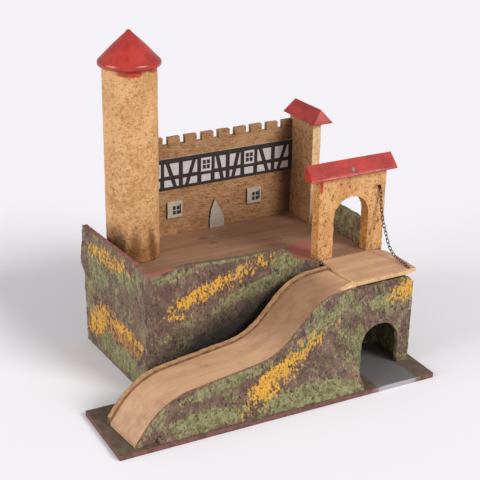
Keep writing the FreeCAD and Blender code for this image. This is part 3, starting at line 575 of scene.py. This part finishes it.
@dataclass
class Piece:
    """A worked piece on its way from plain solids to the finished object."""

    name: str
    body: str = CASTLE
    mesh: bmesh.types.BMesh = field(default_factory=bmesh.new)

    def from_nodes(self, *nodes: str) -> "Piece":
        """Starts from copies of plain solids.

        Args:
            nodes: the solids' names.

        Returns:
            The piece.
        """
        for node in nodes:
            self.mesh.from_mesh(bpy.data.objects[node].data)
        bmesh.ops.remove_doubles(self.mesh, verts=self.mesh.verts, dist=MERGE_DISTANCE)
        bmesh.ops.dissolve_limit(self.mesh, angle_limit=FLAT_ANGLE, verts=self.mesh.verts, edges=self.mesh.edges)
        return self

    def spun(self, profile: Iterable[tuple[float, float]], middle: Vector, steps: int) -> "Piece":
        """Spins a profile.

        Args:
            profile: its points as radius and height in mm.
            middle: a point on the axis.
            steps: how many steps the turn has.

        Returns:
            The piece.
        """
        points = [self.mesh.verts.new((middle.x + radius * MM, middle.y, height * MM)) for radius, height in profile]
        edges = [self.mesh.edges.new(pair) for pair in zip(points, points[1:])]
        bmesh.ops.spin(
            self.mesh,
            geom=points + edges,
            cent=middle,
            axis=(0, 0, 1),
            angle=math.tau,
            steps=steps,
            use_merge=True,
        )
        bmesh.ops.remove_doubles(self.mesh, verts=self.mesh.verts, dist=0.01 * MM)
        bmesh.ops.recalc_face_normals(self.mesh, faces=self.mesh.faces)
        return self

    def block(self, low: Vector, high: Vector) -> "Piece":
        """Adds a block.

        Args:
            low: its corner with the smallest numbers.
            high: the opposite corner.

        Returns:
            The piece.
        """
        size = high - low
        matrix = Matrix.Translation((low + high) / 2) @ Matrix.Diagonal((*size, 1.0))
        bmesh.ops.create_cube(self.mesh, size=1.0, matrix=matrix)
        return self

    def sliced(self, step: float, axes: str = "xyz") -> "Piece":
        """Cuts the faces into cells, square to the axes.

        Args:
            step: the cells' size in mm, about.
            axes: the axes that are cut across.

        Returns:
            The piece.
        """
        for axis, letter in enumerate("xyz"):
            if letter not in axes:
                continue
            places = [vert.co[axis] for vert in self.mesh.verts]
            low, high = min(places), max(places)
            count = int((high - low) / (step * MM))
            normal = Vector((letter == "x", letter == "y", letter == "z"))
            for index in range(1, count + 1):
                place = normal * (low + (high - low) * index / (count + 1))
                geom = [*self.mesh.verts, *self.mesh.edges, *self.mesh.faces]
                bmesh.ops.bisect_plane(self.mesh, geom=geom, dist=1e-7, plane_co=place, plane_no=normal)
        return self

    def roughened(self, relief: Relief) -> "Piece":
        """Pushes the surface in and out.

        Args:
            relief: how far, and in lumps of what size.

        Returns:
            The piece.
        """
        self.mesh.normal_update()
        moves = [(vert, vert.normal * relief.push(vert.co) * MM) for vert in self.mesh.verts]
        for vert, move in moves:
            vert.co += move
        return self

    def finish(
        self,
        materials: list[bpy.types.Material],
        rule: Rule | None = None,
        bevel: float = 0.0,
        replaces: Iterable[str] = (),
        slot: str | None = None,
        smooth: bool = True,
        edge_slot: int = -1,
    ) -> bpy.types.Object:
        """Makes the object.

        Args:
            materials: its finishes.
            rule: says which finish a face takes.
            bevel: the width of its worn edges in mm.
            replaces: the plain solids that it stands for.
            slot: the record's slot of its finish; not used.
            smooth: whether its faces are shaded smoothly.
            edge_slot: the finish of the worn edges, or -1.

        Returns:
            The object.
        """
        if rule is not None:
            self.mesh.normal_update()
            for face in self.mesh.faces:
                face.material_index = rule(face)
        data = bpy.data.meshes.new(self.name)
        self.mesh.to_mesh(data)
        self.mesh.free()
        for material in materials:
            data.materials.append(material)
        made = bpy.data.objects.new(self.name, data)
        bpy.context.scene.collection.objects.link(made)
        if bevel > 0:
            worn = made.modifiers.new("worn_edges", "BEVEL")
            worn.width = bevel * MM
            worn.segments = 2
            worn.limit_method = "ANGLE"
            worn.angle_limit = WORN_ANGLE
            worn.material = edge_slot
            worn.use_clamp_overlap = True
        if smooth:
            data.polygons.foreach_set("use_smooth", [True] * len(data.polygons))
            sharp = made.modifiers.new("smooth", "WEIGHTED_NORMAL")
            sharp.keep_sharp = True
        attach(made, self.body)
        if replaces:
            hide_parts(*replaces)
        LOG.info("%s: %d faces", self.name, len(data.polygons))
        return made


def by_way(up: int = 0, front: int = 0, side: int = 0, low: int = 0) -> Rule:
    """A rule that goes by the way a face looks.

    Args:
        up: the finish of faces that look up.
        front: of those that look to the front or back.
        side: of those that look left or right.
        low: of those that look down.

    Returns:
        The rule.
    """

    def rule(face: bmesh.types.BMFace) -> int:
        """The finish of one face.

        Args:
            face: the face.

        Returns:
            The finish's number.
        """
        normal = face.normal
        if abs(normal.z) > 0.6:
            return up if normal.z > 0 else low
        return front if abs(normal.y) > abs(normal.x) else side

    return rule


class Finishes:
    """Every finish of the castle, made once."""

    def __init__(self) -> None:
        """Makes the finishes."""
        self.coats()
        self.rocks()
        self.woods()
        self.trims()

    def coats(self) -> None:
        """The sand coats of the towers, the wall and the gatehouse, and the roofs' red."""
        front = Plane.FRONT
        red = srgb(186, 48, 32)
        self.tower = SandCoat(
            "tower_coat",
            streaks=(
                Streak(front, (26, 288), (11, 3.4), 0, red, 0.9, 0.4, 4.0),
                Streak(front, (49, 289), (6, 2.6), -15, red, 0.8, 0.4, 3.0),
                Streak(front, (36, 104), (34, 14), 0, srgb(140, 86, 40), 0.7, 0.7, 12.0, 0.6),
                Streak(front, (14, 120), (5, 15), 8, SOOT, 0.8, 0.6, 5.0, 0.6),
                Streak(front, (26, 116), (5, 19), -4, srgb(120, 68, 26), 0.8, 0.6, 6.0, 0.6),
                Streak(front, (45, 114), (4.5, 20), 6, srgb(112, 62, 24), 0.85, 0.6, 6.0, 0.6),
            ),
        ).make()
        wall_tones = {"base": srgb(156, 112, 72), "pale": srgb(184, 140, 98), "pit": srgb(106, 66, 36)}
        # painted shade: a dark brown patch in the corner between the back wall and the slab tower
        corner = Streak(front, (234, 150), (15, 80), 0, srgb(52, 28, 12), 0.8, 0.3, 14.0, 0.7)
        self.wall = SandCoat(
            "wall_coat", **wall_tones, grain=1.3, depth=0.8, flow=(0.45, 1.0, 1.2), streaks=(corner,)
        ).make()
        self.slab = SandCoat("slab_coat", **wall_tones, grain=1.6, depth=0.6).make()
        # painted light: a paler copy of the slab coat with fewer pits, laid on the front faces only so they read
        # lighter than the sides
        self.slab_lit_front = SandCoat(
            "slab_lit_front_coat",
            base=srgb(208, 166, 116),
            pale=srgb(226, 196, 150),
            pits=0.3,
            depth=0.4,
        ).make()
        gate_pit = srgb(122, 72, 36)
        self.gate = SandCoat(
            "gate_coat",
            base=srgb(206, 148, 90),
            pale=srgb(226, 176, 118),
            pit=gate_pit,
            pits=1.0,
            grain=1.8,
            depth=1.4,
            flow=(1.0, 1.0, 0.7),
            streaks=(Streak(front, (188, 178), (1.8, 9), 0, red, 0.9, 0.4, 4.0),),
        ).make()
        # a darker, more orange copy of the gate coat for the side, top and under faces: partly a more orange paint,
        # partly painted shade
        self.gate_shaded_side = SandCoat(
            "gate_shaded_side_coat", base=srgb(202, 136, 68), pale=srgb(226, 168, 104), pit=gate_pit, pits=1.0, depth=1.4
        ).make()
        self.roof = GlossPaint("roof_red").make()
        self.cone = GlossPaint("cone_red", roughness=0.3, strokes=(1.0, 1.0, 3.0)).make()

    def rocks(self) -> None:
        """The rock coats of the walls, the hill and the tunnel block."""
        front, side = Plane.FRONT, Plane.SIDE
        green = srgb(120, 124, 70)
        self.front = RockCoat(
            "front_coat",
            moss=0.1,
            greens=(
                Streak(front, (150, 112), (30, 14), 0, green, 0.72, 0.4, 9.0, 0.5),
                Streak(front, (112, 90), (60, 10), 13, green, 0.72, 0.4, 9.0, 0.5),
                Streak(front, (26, 120), (26, 6), 8, green, 0.72, 0.4, 9.0, 0.5),
                Streak(front, (88, 126), (50, 3.6), -1, green, 0.74, 0.4, 8.0, 0.5),
                Streak(front, (34, 56), (28, 20), 20, green, 0.6, 0.5, 9.0, 0.5),
            ),
            streaks=(
                Streak(front, (76, 102), (58, 11), 17, ORANGE, 0.55, 0.5, 7.0, 0.6),
                Streak(front, (56, 98), (31, 7), 19, YELLOW, 1.0, 0.4, 7.0, 0.5),
                Streak(front, (104, 113), (26, 8), 15, YELLOW, 0.75, 0.5, 6.0, 0.6),
                Streak(front, (26, 79), (20, 4), -8, YELLOW, 0.6, 0.5, 5.0, 0.6),
            ),
            # painted shade: a near-black wash on the front wall's lower part, where the ramp shades it and the gap
            # behind the ramp is dark
            painted_shade=(
                Streak(front, (98, 50), (98, 28), 20, SHADE_BLACK, 0.9, 0.25, 16.0, 0.55),
                Streak(front, (84, 30), (84, 22), 12, SHADE_BLACK, 0.7, 0.25, 16.0, 0.6),
            ),
        ).make()
        self.left = RockCoat(
            "left_coat",
            moss=0.3,
            greens=(
                Streak(side, (112, 92), (30, 36), 0, green, 0.62, 0.4, 12.0, 0.5),
                Streak(side, (62, 16), (70, 16), 0, green, 0.7, 0.4, 12.0, 0.5),
                Streak(side, (48, 104), (30, 10), -8, green, 0.7, 0.5, 9.0, 0.5),
            ),
            streaks=(
                Streak(side, (86, 109), (48, 10), -8, YELLOW, 0.7, 0.4, 6.0, 0.6),
                Streak(side, (112, 109), (22, 6), -8, YELLOW, 0.8, 0.4, 6.0, 0.5),
                Streak(side, (108, 36), (32, 13), -34, YELLOW, 1.0, 0.35, 7.0, 0.5),
                Streak(side, (56, 41), (50, 12), 1, ORANGE, 0.8, 0.4, 6.0, 0.6),
                Streak(side, (54, 48), (44, 5), 2, YELLOW, 1.0, 0.4, 6.0, 0.6),
            ),
        ).make()
        self.hill = RockCoat(
            "hill_coat",
            moss=0.3,
            greens=(
                Streak(front, (160, 72), (70, 9), 34, green, 0.7, 0.5, 9.0, 0.5),
                Streak(front, (46, 40), (66, 9), 6, green, 0.66, 0.5, 9.0, 0.5),
                Streak(front, (130, 10), (80, 12), 0, green, 0.68, 0.5, 9.0, 0.5),
                Streak(front, (20, 13), (60, 9), 0, green, 0.7, 0.4, 9.0, 0.5),
            ),
            streaks=(
                Streak(front, (110, 38), (62, 11), 27, YELLOW, 0.7, 0.4, 7.0, 0.6),
                Streak(front, (95, 32), (38, 7), 27, YELLOW, 1.0, 0.4, 7.0, 0.5),
            ),
        ).make()
        self.block = RockCoat(
            "block_coat",
            moss=0.4,
            greens=(
                Streak(front, (222, 76), (20, 12), 0, green, 0.72, 0.4, 8.0, 0.5),
                Streak(front, (196, 30), (10, 34), 0, green, 0.72, 0.4, 8.0, 0.5),
            ),
            streaks=(Streak(front, (248, 84), (22, 11), 15, YELLOW, 0.85, 0.4, 5.0, 0.6),),
        ).make()
        self.rock = RockCoat("rock_coat", moss=0.75).make()

    def woods(self) -> None:
        """The boards, the deck, the road and the cut edges."""
        top = Plane.TOP
        self.inside = StainedWood("bare_board", srgb(160, 122, 84), srgb(120, 86, 58)).make()
        self.deck = StainedWood(
            "deck_stain",
            base=srgb(156, 118, 90),
            dark=srgb(128, 94, 70),
            knots=((115, 112), (118, 97), (66, 40)),
            streaks=(Streak(top, (193, 32), (19, 27), 0, srgb(164, 92, 80), 0.9, 0.22, 9.0, 0.15),),
        ).make()
        self.road = StainedWood(
            "road_paint",
            base=srgb(208, 166, 128),
            dark=srgb(176, 132, 96),
            contrast=0.5,
            dirt=0.35,
            roughness=0.5,
            # painted shade: a darker brown over the road's steep part, which faces away from the key light
            painted_shading=(Streak(top, (138, -30), (36, 60), 0, srgb(112, 78, 54), 0.6, 0.2, 14.0, 0.6),),
        ).make()
        self.cut = PlainPaint("cut_edge", srgb(228, 190, 140), srgb(180, 128, 84), grain=6.0).make()
        # dark brown for the road's edges and the rail's face towards the road: partly the edges' own colour, partly
        # painted shade
        self.edge_brown_and_shade = PlainPaint("edge_brown_and_shade", srgb(140, 98, 68), srgb(92, 60, 46), grain=6.0, cover=0.9).make()
        self.rail = PlainPaint("rail_edge", srgb(190, 150, 106), srgb(140, 104, 72), grain=5.0, cover=0.8).make()

    def trims(self) -> None:
        """Undercoats, the base board, cards, panes and metal."""
        front, top = Plane.FRONT, Plane.TOP
        pink = srgb(158, 92, 80)
        self.undercoat = PlainPaint("undercoat_pink", srgb(146, 94, 80), srgb(104, 70, 58), grain=5.0, cover=0.8).make()
        self.crest = PlainPaint(
            "wall_crest",
            srgb(112, 92, 68),
            srgb(82, 66, 50),
            grain=4.0,
            cover=0.9,
            streaks=(
                Streak(top, (10, 2), (18, 8), 0, pink, 0.95, 0.3, 5.0),
                Streak(top, (178, 2), (24, 8), 0, pink, 0.9, 0.3, 5.0),
            ),
        ).make()
        self.lining = PlainPaint("inner_wash", srgb(124, 94, 66), srgb(84, 62, 46), grain=9.0, cover=0.8).make()
        self.filler = RockCoat("filler_lumps", moss=0.45, grain=1.3, depth=0.8).make()
        grey = srgb(110, 106, 106)
        self.base = PlainPaint(
            "base_paint",
            srgb(100, 86, 66),
            srgb(82, 62, 52),
            grain=7.0,
            cover=0.9,
            roughness=0.6,
            streaks=(Streak(top, (220, -50), (22, 60), -2, grey, 0.95, 0.1, 6.0, 0.12, True),),
        ).make()
        self.base_edge = PlainPaint(
            "base_edge",
            srgb(122, 78, 68),
            srgb(78, 54, 46),
            grain=5.0,
            cover=0.9,
            streaks=(Streak(front, (219, 3), (22, 9), 0, srgb(184, 178, 184), 0.75, 0.6, 3.0, 0.3, True),),
        ).make()
        self.panel = PlainPaint("strip_panel", srgb(206, 198, 198), srgb(176, 166, 166), grain=3.0).make()
        self.timber = PlainPaint("strip_timber", srgb(38, 30, 28), srgb(62, 48, 44), grain=3.0, cover=0.35).make()
        self.card = PlainPaint("card_grey", srgb(190, 178, 160), srgb(150, 136, 118), grain=3.0).make()
        self.pane = PlainPaint("pane_black", srgb(34, 28, 26), srgb(58, 50, 48), grain=2.0, roughness=0.5).make()
        self.steel = PlainPaint(
            "dull_steel", srgb(150, 142, 134), srgb(90, 74, 62), grain=1.5, metallic=0.9, roughness=0.45
        ).make()
        self.chain = PlainPaint(
            "dark_wire", srgb(78, 66, 64), srgb(112, 66, 48), grain=3.0, metallic=0.6, roughness=0.5
        ).make()


@dataclass
class Plateau:
    """The box of coated boards, its deck and the bank on it."""

    paint: Finishes
    cell: float = 2.2
    relief: Relief = Relief(0.5, 14.0, 0.55, 5.0)

    @staticmethod
    def board_rule(face: bmesh.types.BMFace) -> int:
        """The finish of one face of a board.

        Args:
            face: the face.

        Returns:
            1 for the top and bottom edges, 2 for what looks into the box, else 0.
        """
        if abs(face.normal.z) > 0.6:
            return 1
        inwards = at(130.0, 72.0, 60.0) - face.calc_center_median()
        return 2 if face.normal.dot(inwards) > 0.04 else 0

    def build(self) -> None:
        """Builds and dresses the pieces."""
        paint = self.paint
        walls = (
            ("front_wall", paint.front, paint.crest),
            ("left_wall", paint.left, paint.undercoat),
            ("right_wall", paint.rock, paint.undercoat),
            ("back_board", paint.rock, paint.undercoat),
        )
        for node, coat, crest in walls:
            piece = Piece(f"{node}_coated").from_nodes(node).sliced(self.cell).roughened(self.relief)
            piece.finish([coat, crest, paint.lining], self.board_rule, 0.5, [node], "rock_coat")
        deck = Piece("deck_planks").from_nodes("courtyard_deck").sliced(8.0, "xy")
        deck.roughened(Relief(0.12, 40.0, 0.04, 9.0))
        deck.finish([paint.deck], None, 0.4, ["courtyard_deck"], "deck_paint")
        bank = Piece("right_bank_coated").from_nodes("right_bank").sliced(2.2).roughened(Relief(1.2, 12.0, 0.8, 5.0))
        bank.finish([paint.rock], None, 0.0, ["right_bank"], "rock_coat")
        for node in ("deck_batten_front", "deck_batten_back", "tower_foot_disc"):
            dress(node, paint.inside)


@dataclass
class RoundTower:
    """The coated tube and its turned roof."""

    paint: Finishes
    middle: Vector = field(default_factory=lambda: at(35.0, 108.5, 0.0))
    outside: float = 26.0
    inside: float = 23.5
    foot: float = 100.0
    top: float = 291.0
    rim: float = 30.0
    steps: int = 96

    def build(self) -> None:
        """Builds and dresses the pieces."""
        outside, inside, foot, top = self.outside, self.inside, self.foot, self.top
        profile = ((outside, foot), (outside, top), (inside, top), (inside, foot), (outside, foot))
        tube = Piece("tower_tube_coated").spun(profile, self.middle, self.steps)
        tube.sliced(2.4, "z").roughened(Relief(0.22, 12.0, 0.22, 4.0))
        tube.finish([self.paint.tower], None, 0.0, ["tower_tube"], "tube_coat")
        spigot, rim = inside - 0.3, self.rim
        roof_profile = (
            (0.0, top - 6.0),
            (spigot, top - 6.0),
            (spigot, top + 0.05),
            (rim - 0.9, top + 0.05),
            (rim, top + 1.0),
            (rim + 0.1, top + 3.4),
            (rim - 0.5, top + 4.8),
            (rim - 1.8, top + 6.0),
            (16.0, top + 18.6),
            (3.2, top + 30.6),
            (1.9, top + 32.2),
            (0.8, top + 32.9),
            (0.0, top + 33.0),
        )
        roof = Piece("tower_roof_turned").spun(roof_profile, self.middle, self.steps)
        roof.sliced(3.0, "z").roughened(Relief(0.15, 16.0, 0.05, 5.0))
        roof.finish([self.paint.cone], None, 0.0, ["tower_roof"], "roof_paint")


def dress(node: str, material: bpy.types.Material) -> None:
    """Gives a plain solid that stays its finish.

    Args:
        node: the solid's name.
        material: the finish.
    """
    slots = bpy.data.objects[node].data.materials
    slots.clear()
    slots.append(material)


@dataclass
class BackWall:
    """The battlemented wall, its half-timber strip, its windows and its door."""

    paint: Finishes
    face: float = 135.0
    window_middles: tuple[float, ...] = (72.0, 129.6, 180.3)
    window_half: float = 6.0
    window_foot: float = 163.8
    window_top: float = 178.3
    card_places: tuple[float, ...] = (84.8, 178.2)
    bar: float = 1.1

    def build(self) -> None:
        """Builds and dresses the pieces."""
        paint = self.paint
        wall = Piece("battlement_wall").from_nodes("crenellated_wall").sliced(2.6)
        wall.roughened(Relief(0.25, 14.0, 0.2, 5.0)).finish([paint.wall], None, 0.5, ["crenellated_wall"], "sand_coat")
        dress("half_timber_card", paint.panel)
        timbers = Piece("timber_frame").from_nodes("half_timber_frame").sliced(2.5)
        timbers.roughened(Relief(0.05, 9.0, 0.04, 3.0))
        timbers.finish([paint.timber], None, 0.0, ["half_timber_frame"], "strip_timbers")
        for index, middle in enumerate(self.window_middles):
            self.strip_window(index, middle)
        for side, left in zip(("left", "right"), self.card_places):
            self.window_card(side, left)
        door = Piece("door_panel").from_nodes("door_card").sliced(2.0).roughened(Relief(0.1, 8.0, 0.08, 3.0))
        # the door's side faces take the near-black timber paint, a painted shadow along its edges
        door.finish([paint.card, paint.timber], by_way(side=1), 0.3, ["door_card"], "card_paint")

    def panes(self, name: str, left: float, foot: float, wide: float, tall: float, back: float) -> None:
        """Sets four dark panes in a two by two grid.

        Args:
            name: the piece's name.
            left: the left side of the grid in mm.
            foot: its foot.
            wide: its width.
            tall: its height.
            back: the depth of the surface that it lies on.
        """
        piece = Piece(name)
        pane_wide, pane_tall = (wide - self.bar) / 2, (tall - self.bar) / 2
        for column in range(2):
            for row in range(2):
                low = at(left + column * (pane_wide + self.bar), back - 0.25, foot + row * (pane_tall + self.bar))
                piece.block(low, low + Vector((pane_wide, 0.4, pane_tall)) * MM)
        piece.finish([self.paint.pane], None, 0.1, (), "strip_timbers")

    def strip_window(self, index: int, middle: float) -> None:
        """Makes one window of the strip.

        Args:
            index: its number from the left.
            middle: its middle in mm.
        """
        frame = Piece(f"strip_window_{index}")
        left, right = middle - self.window_half, middle + self.window_half
        frame.block(at(left, self.face - 1.5, self.window_foot), at(right, self.face - 0.9, self.window_top))
        frame.sliced(2.0, "xz").finish([self.paint.panel], None, 0.2, (), "strip_panels")
        self.panes(f"strip_panes_{index}", middle - 4.1, 166.6, 8.2, 9.4, self.face - 1.5)

    def window_card(self, side: str, left: float) -> None:
        """Makes one window card low on the wall.

        Args:
            side: left or right.
            left: its left side in mm.
        """
        node = f"window_card_{side}"
        card = Piece(f"{node}_painted").from_nodes(node).sliced(2.0).roughened(Relief(0.12, 8.0, 0.08, 3.0))
        # the card's side faces take the near-black timber paint, a painted shadow along its edges
        card.finish([self.paint.card, self.paint.timber], by_way(side=1), 0.3, [node], "card_paint")
        self.panes(f"{node}_panes", left + 6.2, 122.6, 7.4, 9.0, self.face - 2.0)
        bar = Piece(f"{node}_bar")
        bar.block(at(left + 13.9, self.face - 2.2, 123.0), at(left + 15.3, self.face - 1.8, 133.4))
        bar.sliced(1.5, "z").roughened(Relief(0.08, 5.0, 0.05, 2.0)).finish([self.paint.pane], None, 0.1, ())


def roof_block(name: str, node: str, paint: Finishes) -> None:
    """Makes a sawn roof block.

    Args:
        name: the piece's name.
        node: the plain solid that it stands for.
        paint: the finishes.
    """
    roof = Piece(name).from_nodes(node).sliced(4.0).roughened(Relief(0.15, 14.0, 0.05, 5.0))
    roof.finish([paint.roof], None, 0.5, [node], "roof_paint")


@dataclass
class SquareTower:
    """The slab tower and its hipped roof."""

    paint: Finishes

    def build(self) -> None:
        """Builds and dresses the pieces."""
        slab = Piece("slab_tower_coated").from_nodes("square_tower").sliced(2.4).roughened(Relief(0.2, 12.0, 0.2, 4.0))
        # the front faces take the paler coat, painted light
        slab.finish([self.paint.slab, self.paint.slab_lit_front], by_way(front=1), 0.6, ["square_tower"], "sand_coat")
        roof_block("slab_roof_painted", "square_tower_roof", self.paint)


@dataclass
class Gatehouse:
    """The gatehouse, its roof and its fittings."""

    paint: Finishes
    fittings: tuple[str, ...] = ("gatehouse_roof_nail", "chain_peg", "hinge_eye_left", "hinge_eye_right")
    bridge_fittings: tuple[str, ...] = ("hinge_wire", "chain_pin")
    lumps: int = 3

    def build(self) -> None:
        """Builds and dresses the pieces."""
        paint = self.paint
        block = Piece("gatehouse_coated").from_nodes("gatehouse").sliced(1.8).roughened(Relief(0.3, 9.0, 0.4, 3.4))
        # side, top and under faces take the darker coat, partly painted shade
        block.finish([paint.gate, paint.gate_shaded_side], by_way(up=1, side=1, low=1), 0.7, ["gatehouse"], "gate_coat")
        roof_block("gate_roof_painted", "gatehouse_roof", paint)
        for node in (*self.fittings, *self.bridge_fittings):
            dress(node, paint.steel)
        self.foot_lumps("foot_lumps_left", 180.5, 187.0)

    def foot_lumps(self, name: str, left: float, right: float) -> None:
        """Makes a row of filler lumps along the foot of a pier.

        Args:
            name: the piece's name.
            left: the row's left end in mm.
            right: its right end.
        """
        row = Piece(name)
        for index in range(self.lumps):
            swell = 1.0 + 0.25 * math.sin(2.3 * index + left)
            middle = at(left + (right - left) * index / (self.lumps - 1), 7.6, 100.4 + 0.6 * swell)
            reach = Vector((2.2, 1.5, 2.0)) * swell * MM
            matrix = Matrix.Translation(middle) @ Matrix.Diagonal((*reach, 1.0))
            bmesh.ops.create_icosphere(row.mesh, subdivisions=4, radius=1.0, matrix=matrix)
        row.roughened(Relief(0.6, 4.0, 0.3, 1.8)).finish([self.paint.filler], None, 0.0, (), "rock_coat")


@dataclass
class Drawbridge:
    """The drawbridge board and its chain."""

    paint: Finishes
    chain_top: Vector = field(default_factory=lambda: at(256.7, 8.0, 160.0))
    chain_foot: Vector = field(default_factory=lambda: at(256.7, -46.5, 100.0))

    def build(self) -> None:
        """Builds and dresses the pieces."""
        board = Piece("drawbridge_board", BRIDGE).from_nodes("drawbridge").sliced(6.0, "xy")
        board.roughened(Relief(0.1, 24.0, 0.04, 6.0))
        coats, cut_edges = [self.paint.road, self.paint.cut], by_way(front=1, side=1)
        board.finish(coats, cut_edges, 0.6, ["drawbridge"], "road_paint", edge_slot=1)
        self.hang(Piece("chain_links").from_nodes("chain"))

    def hang(self, links: Piece) -> None:
        """Makes the chain from its plain solid, which hangs between the gatehouse and the drawbridge.

        Args:
            links: the chain as it hangs at rest.
        """
        data = bpy.data.meshes.new(links.name)
        links.mesh.to_mesh(data)
        links.mesh.free()
        data.materials.append(self.paint.chain)
        made = bpy.data.objects.new(links.name, data)
        bpy.context.scene.collection.objects.link(made)
        data.polygons.foreach_set("use_smooth", [True] * len(data.polygons))
        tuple(self.chain_top)
        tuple(self.chain_foot)
        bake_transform(made)
        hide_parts("chain")
        LOG.info("%s: %d faces", links.name, len(data.polygons))


@dataclass
class RampUnit:
    """The base board, the tunnel block and the hill with its road."""

    paint: Finishes
    cell: float = 2.2
    relief: Relief = Relief(0.3, 13.0, 0.35, 5.0)

    def build(self) -> None:
        """Builds and dresses the pieces."""
        paint = self.paint
        base = Piece("base_board_painted").from_nodes("ramp_base").sliced(5.0).roughened(Relief(0.2, 18.0, 0.1, 5.0))
        base.finish([paint.base, paint.base_edge], by_way(front=1, side=1, low=1), 0.6, ["ramp_base"], "base_paint")
        boards = (
            ("portal_board", paint.block),
            ("block_back_board", paint.rock),
            ("block_inner_wall", paint.rock),
            ("block_end_wall", paint.rock),
            ("hill_front_board", paint.hill),
            ("hill_back_board", paint.rock),
        )
        for node, coat in boards:
            piece = Piece(f"{node}_coated").from_nodes(node).sliced(self.cell).roughened(self.relief)
            rule = self.rail_rule if node == "hill_back_board" else None
            piece.finish([coat, paint.rail, paint.edge_brown_and_shade], rule, 0.4, [node], "rock_coat")
        bank = Piece("foot_bank_moulded").from_nodes("hill_foot_bank").sliced(self.cell)
        bank.roughened(Relief(1.6, 13.0, 1.1, 5.0)).finish([paint.hill], None, 0.0, ["hill_foot_bank"], "rock_coat")
        road = Piece("road_bent").from_nodes("road_sheet").sliced(4.0, "xy").roughened(Relief(0.12, 26.0, 0.03, 6.0))
        road.finish([paint.road, paint.edge_brown_and_shade], self.road_rule, 0.35, ["road_sheet"], "road_paint")
        top = Piece("platform_painted").from_nodes("platform").sliced(6.0, "xy").roughened(Relief(0.1, 20.0, 0.04, 6.0))
        top.finish([paint.road, paint.cut], by_way(front=1, side=1), 0.4, ["platform"], "road_paint")
        kerb = Piece("kerb_painted").from_nodes("kerb_wedge").sliced(2.0, "xy").roughened(Relief(0.08, 9.0, 0.04, 4.0))
        kerb.finish([paint.cut], None, 0.3, ["kerb_wedge"], "road_paint")

    @staticmethod
    def rail_rule(face: bmesh.types.BMFace) -> int:
        """The rail beside the road is bare on top, and its face towards the road takes a dark brown as painted shade.

        Args:
            face: a face of the hill's back board.

        Returns:
            The finish's number.
        """
        if face.normal.z > 0.3:
            return 1
        return 2 if face.normal.y < -0.5 else 0

    @staticmethod
    def road_rule(face: bmesh.types.BMFace) -> int:
        """The road's long edges take a dark brown: the sheet's edge colour with painted shade along it."""
        return 1 if abs(face.normal.y) > 0.7 else 0


@dataclass(frozen=True)
class Lamp:
    """A distant lamp: where it stands round the castle and above it in degrees, its power and its spread."""

    name: str
    round_by: float
    rise: float
    power: float
    spread: float


@dataclass
class Studio:
    """The pale table, the soft light and the camera."""

    lights: tuple[Lamp, ...] = (Lamp("key", 28.0, 34.0, 2.25, 24.0), Lamp("fill", -92.0, 22.0, 1.5, 36.0))
    surround: float = 0.48
    table_half: float = 6.0
    eye: Vector = field(default_factory=lambda: Vector((-522.97, -849.85, 551.69)) * MM)
    yaw: float = 29.80
    pitch: float = -22.69
    roll: float = 0.94
    lens: float = 85.83

    def build(self) -> None:
        """Sets up the table, the lights and the camera."""
        self.table()
        self.lamps()
        self.camera()

    def table(self) -> None:
        """The plain pale floor."""
        plain = bmesh.new()
        bmesh.ops.create_grid(plain, x_segments=1, y_segments=1, size=self.table_half)
        data = bpy.data.meshes.new("table_top")
        plain.to_mesh(data)
        plain.free()
        floor = bpy.data.objects.new("table_top", data)
        bpy.context.scene.collection.objects.link(floor)
        paint = Paint("table_white", roughness=0.9)
        data.materials.append(paint.finish(srgb(244, 242, 245)))

    def lamps(self) -> None:
        """A key light from the right front, a fill from the left and a pale surround."""
        for light in self.lights:
            data = bpy.data.lights.new(light.name, "SUN")
            data.energy = light.power
            data.angle = math.radians(light.spread)
            lamp = bpy.data.objects.new(light.name, data)
            bpy.context.scene.collection.objects.link(lamp)
            turn, height = math.radians(light.round_by), math.radians(light.rise)
            level = math.cos(height)
            source = Vector((math.sin(turn) * level, -math.cos(turn) * level, math.sin(height)))
            lamp.location = source * 2
            lamp.rotation_mode = "QUATERNION"
            lamp.rotation_quaternion = (-source).to_track_quat("-Z", "Y")
        world = bpy.data.worlds.new("surround")
        world.use_nodes = True
        sky = world.node_tree.nodes["Background"]
        sky.inputs["Color"].default_value = srgb(244, 243, 247)
        sky.inputs["Strength"].default_value = self.surround
        bpy.context.scene.world = world

    def camera(self) -> None:
        """The camera at the photograph's place."""
        yaw, pitch, roll = (math.radians(angle) for angle in (self.yaw, self.pitch, self.roll))
        ahead = Vector((math.sin(yaw) * math.cos(pitch), math.cos(yaw) * math.cos(pitch), math.sin(pitch)))
        level = Vector((math.cos(yaw), -math.sin(yaw), 0.0))
        upright = level.cross(ahead)
        right = level * math.cos(roll) + upright * math.sin(roll)
        up = upright * math.cos(roll) - level * math.sin(roll)
        data = bpy.data.cameras.new("photo_camera")
        data.lens = self.lens
        data.sensor_width = 36.0
        data.clip_start = 0.01
        camera = bpy.data.objects.new("photo_camera", data)
        bpy.context.scene.collection.objects.link(camera)
        turn = Matrix((right, up, -ahead)).transposed().to_4x4()
        camera.matrix_world = Matrix.Translation(self.eye) @ turn
        bpy.context.scene.camera = camera


def main() -> None:
    logging.basicConfig(level=logging.INFO, format="%(message)s")
    bpy.ops.object.select_all(action="SELECT")
    bpy.ops.object.delete()
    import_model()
    paint = Finishes()
    for part in (
        Plateau(paint),
        RoundTower(paint),
        BackWall(paint),
        SquareTower(paint),
        Gatehouse(paint),
        Drawbridge(paint),
        RampUnit(paint),
        Studio(),
    ):
        part.build()
    bpy.context.scene.view_settings.view_transform = "Standard"


if __name__ == "__main__":
    main()
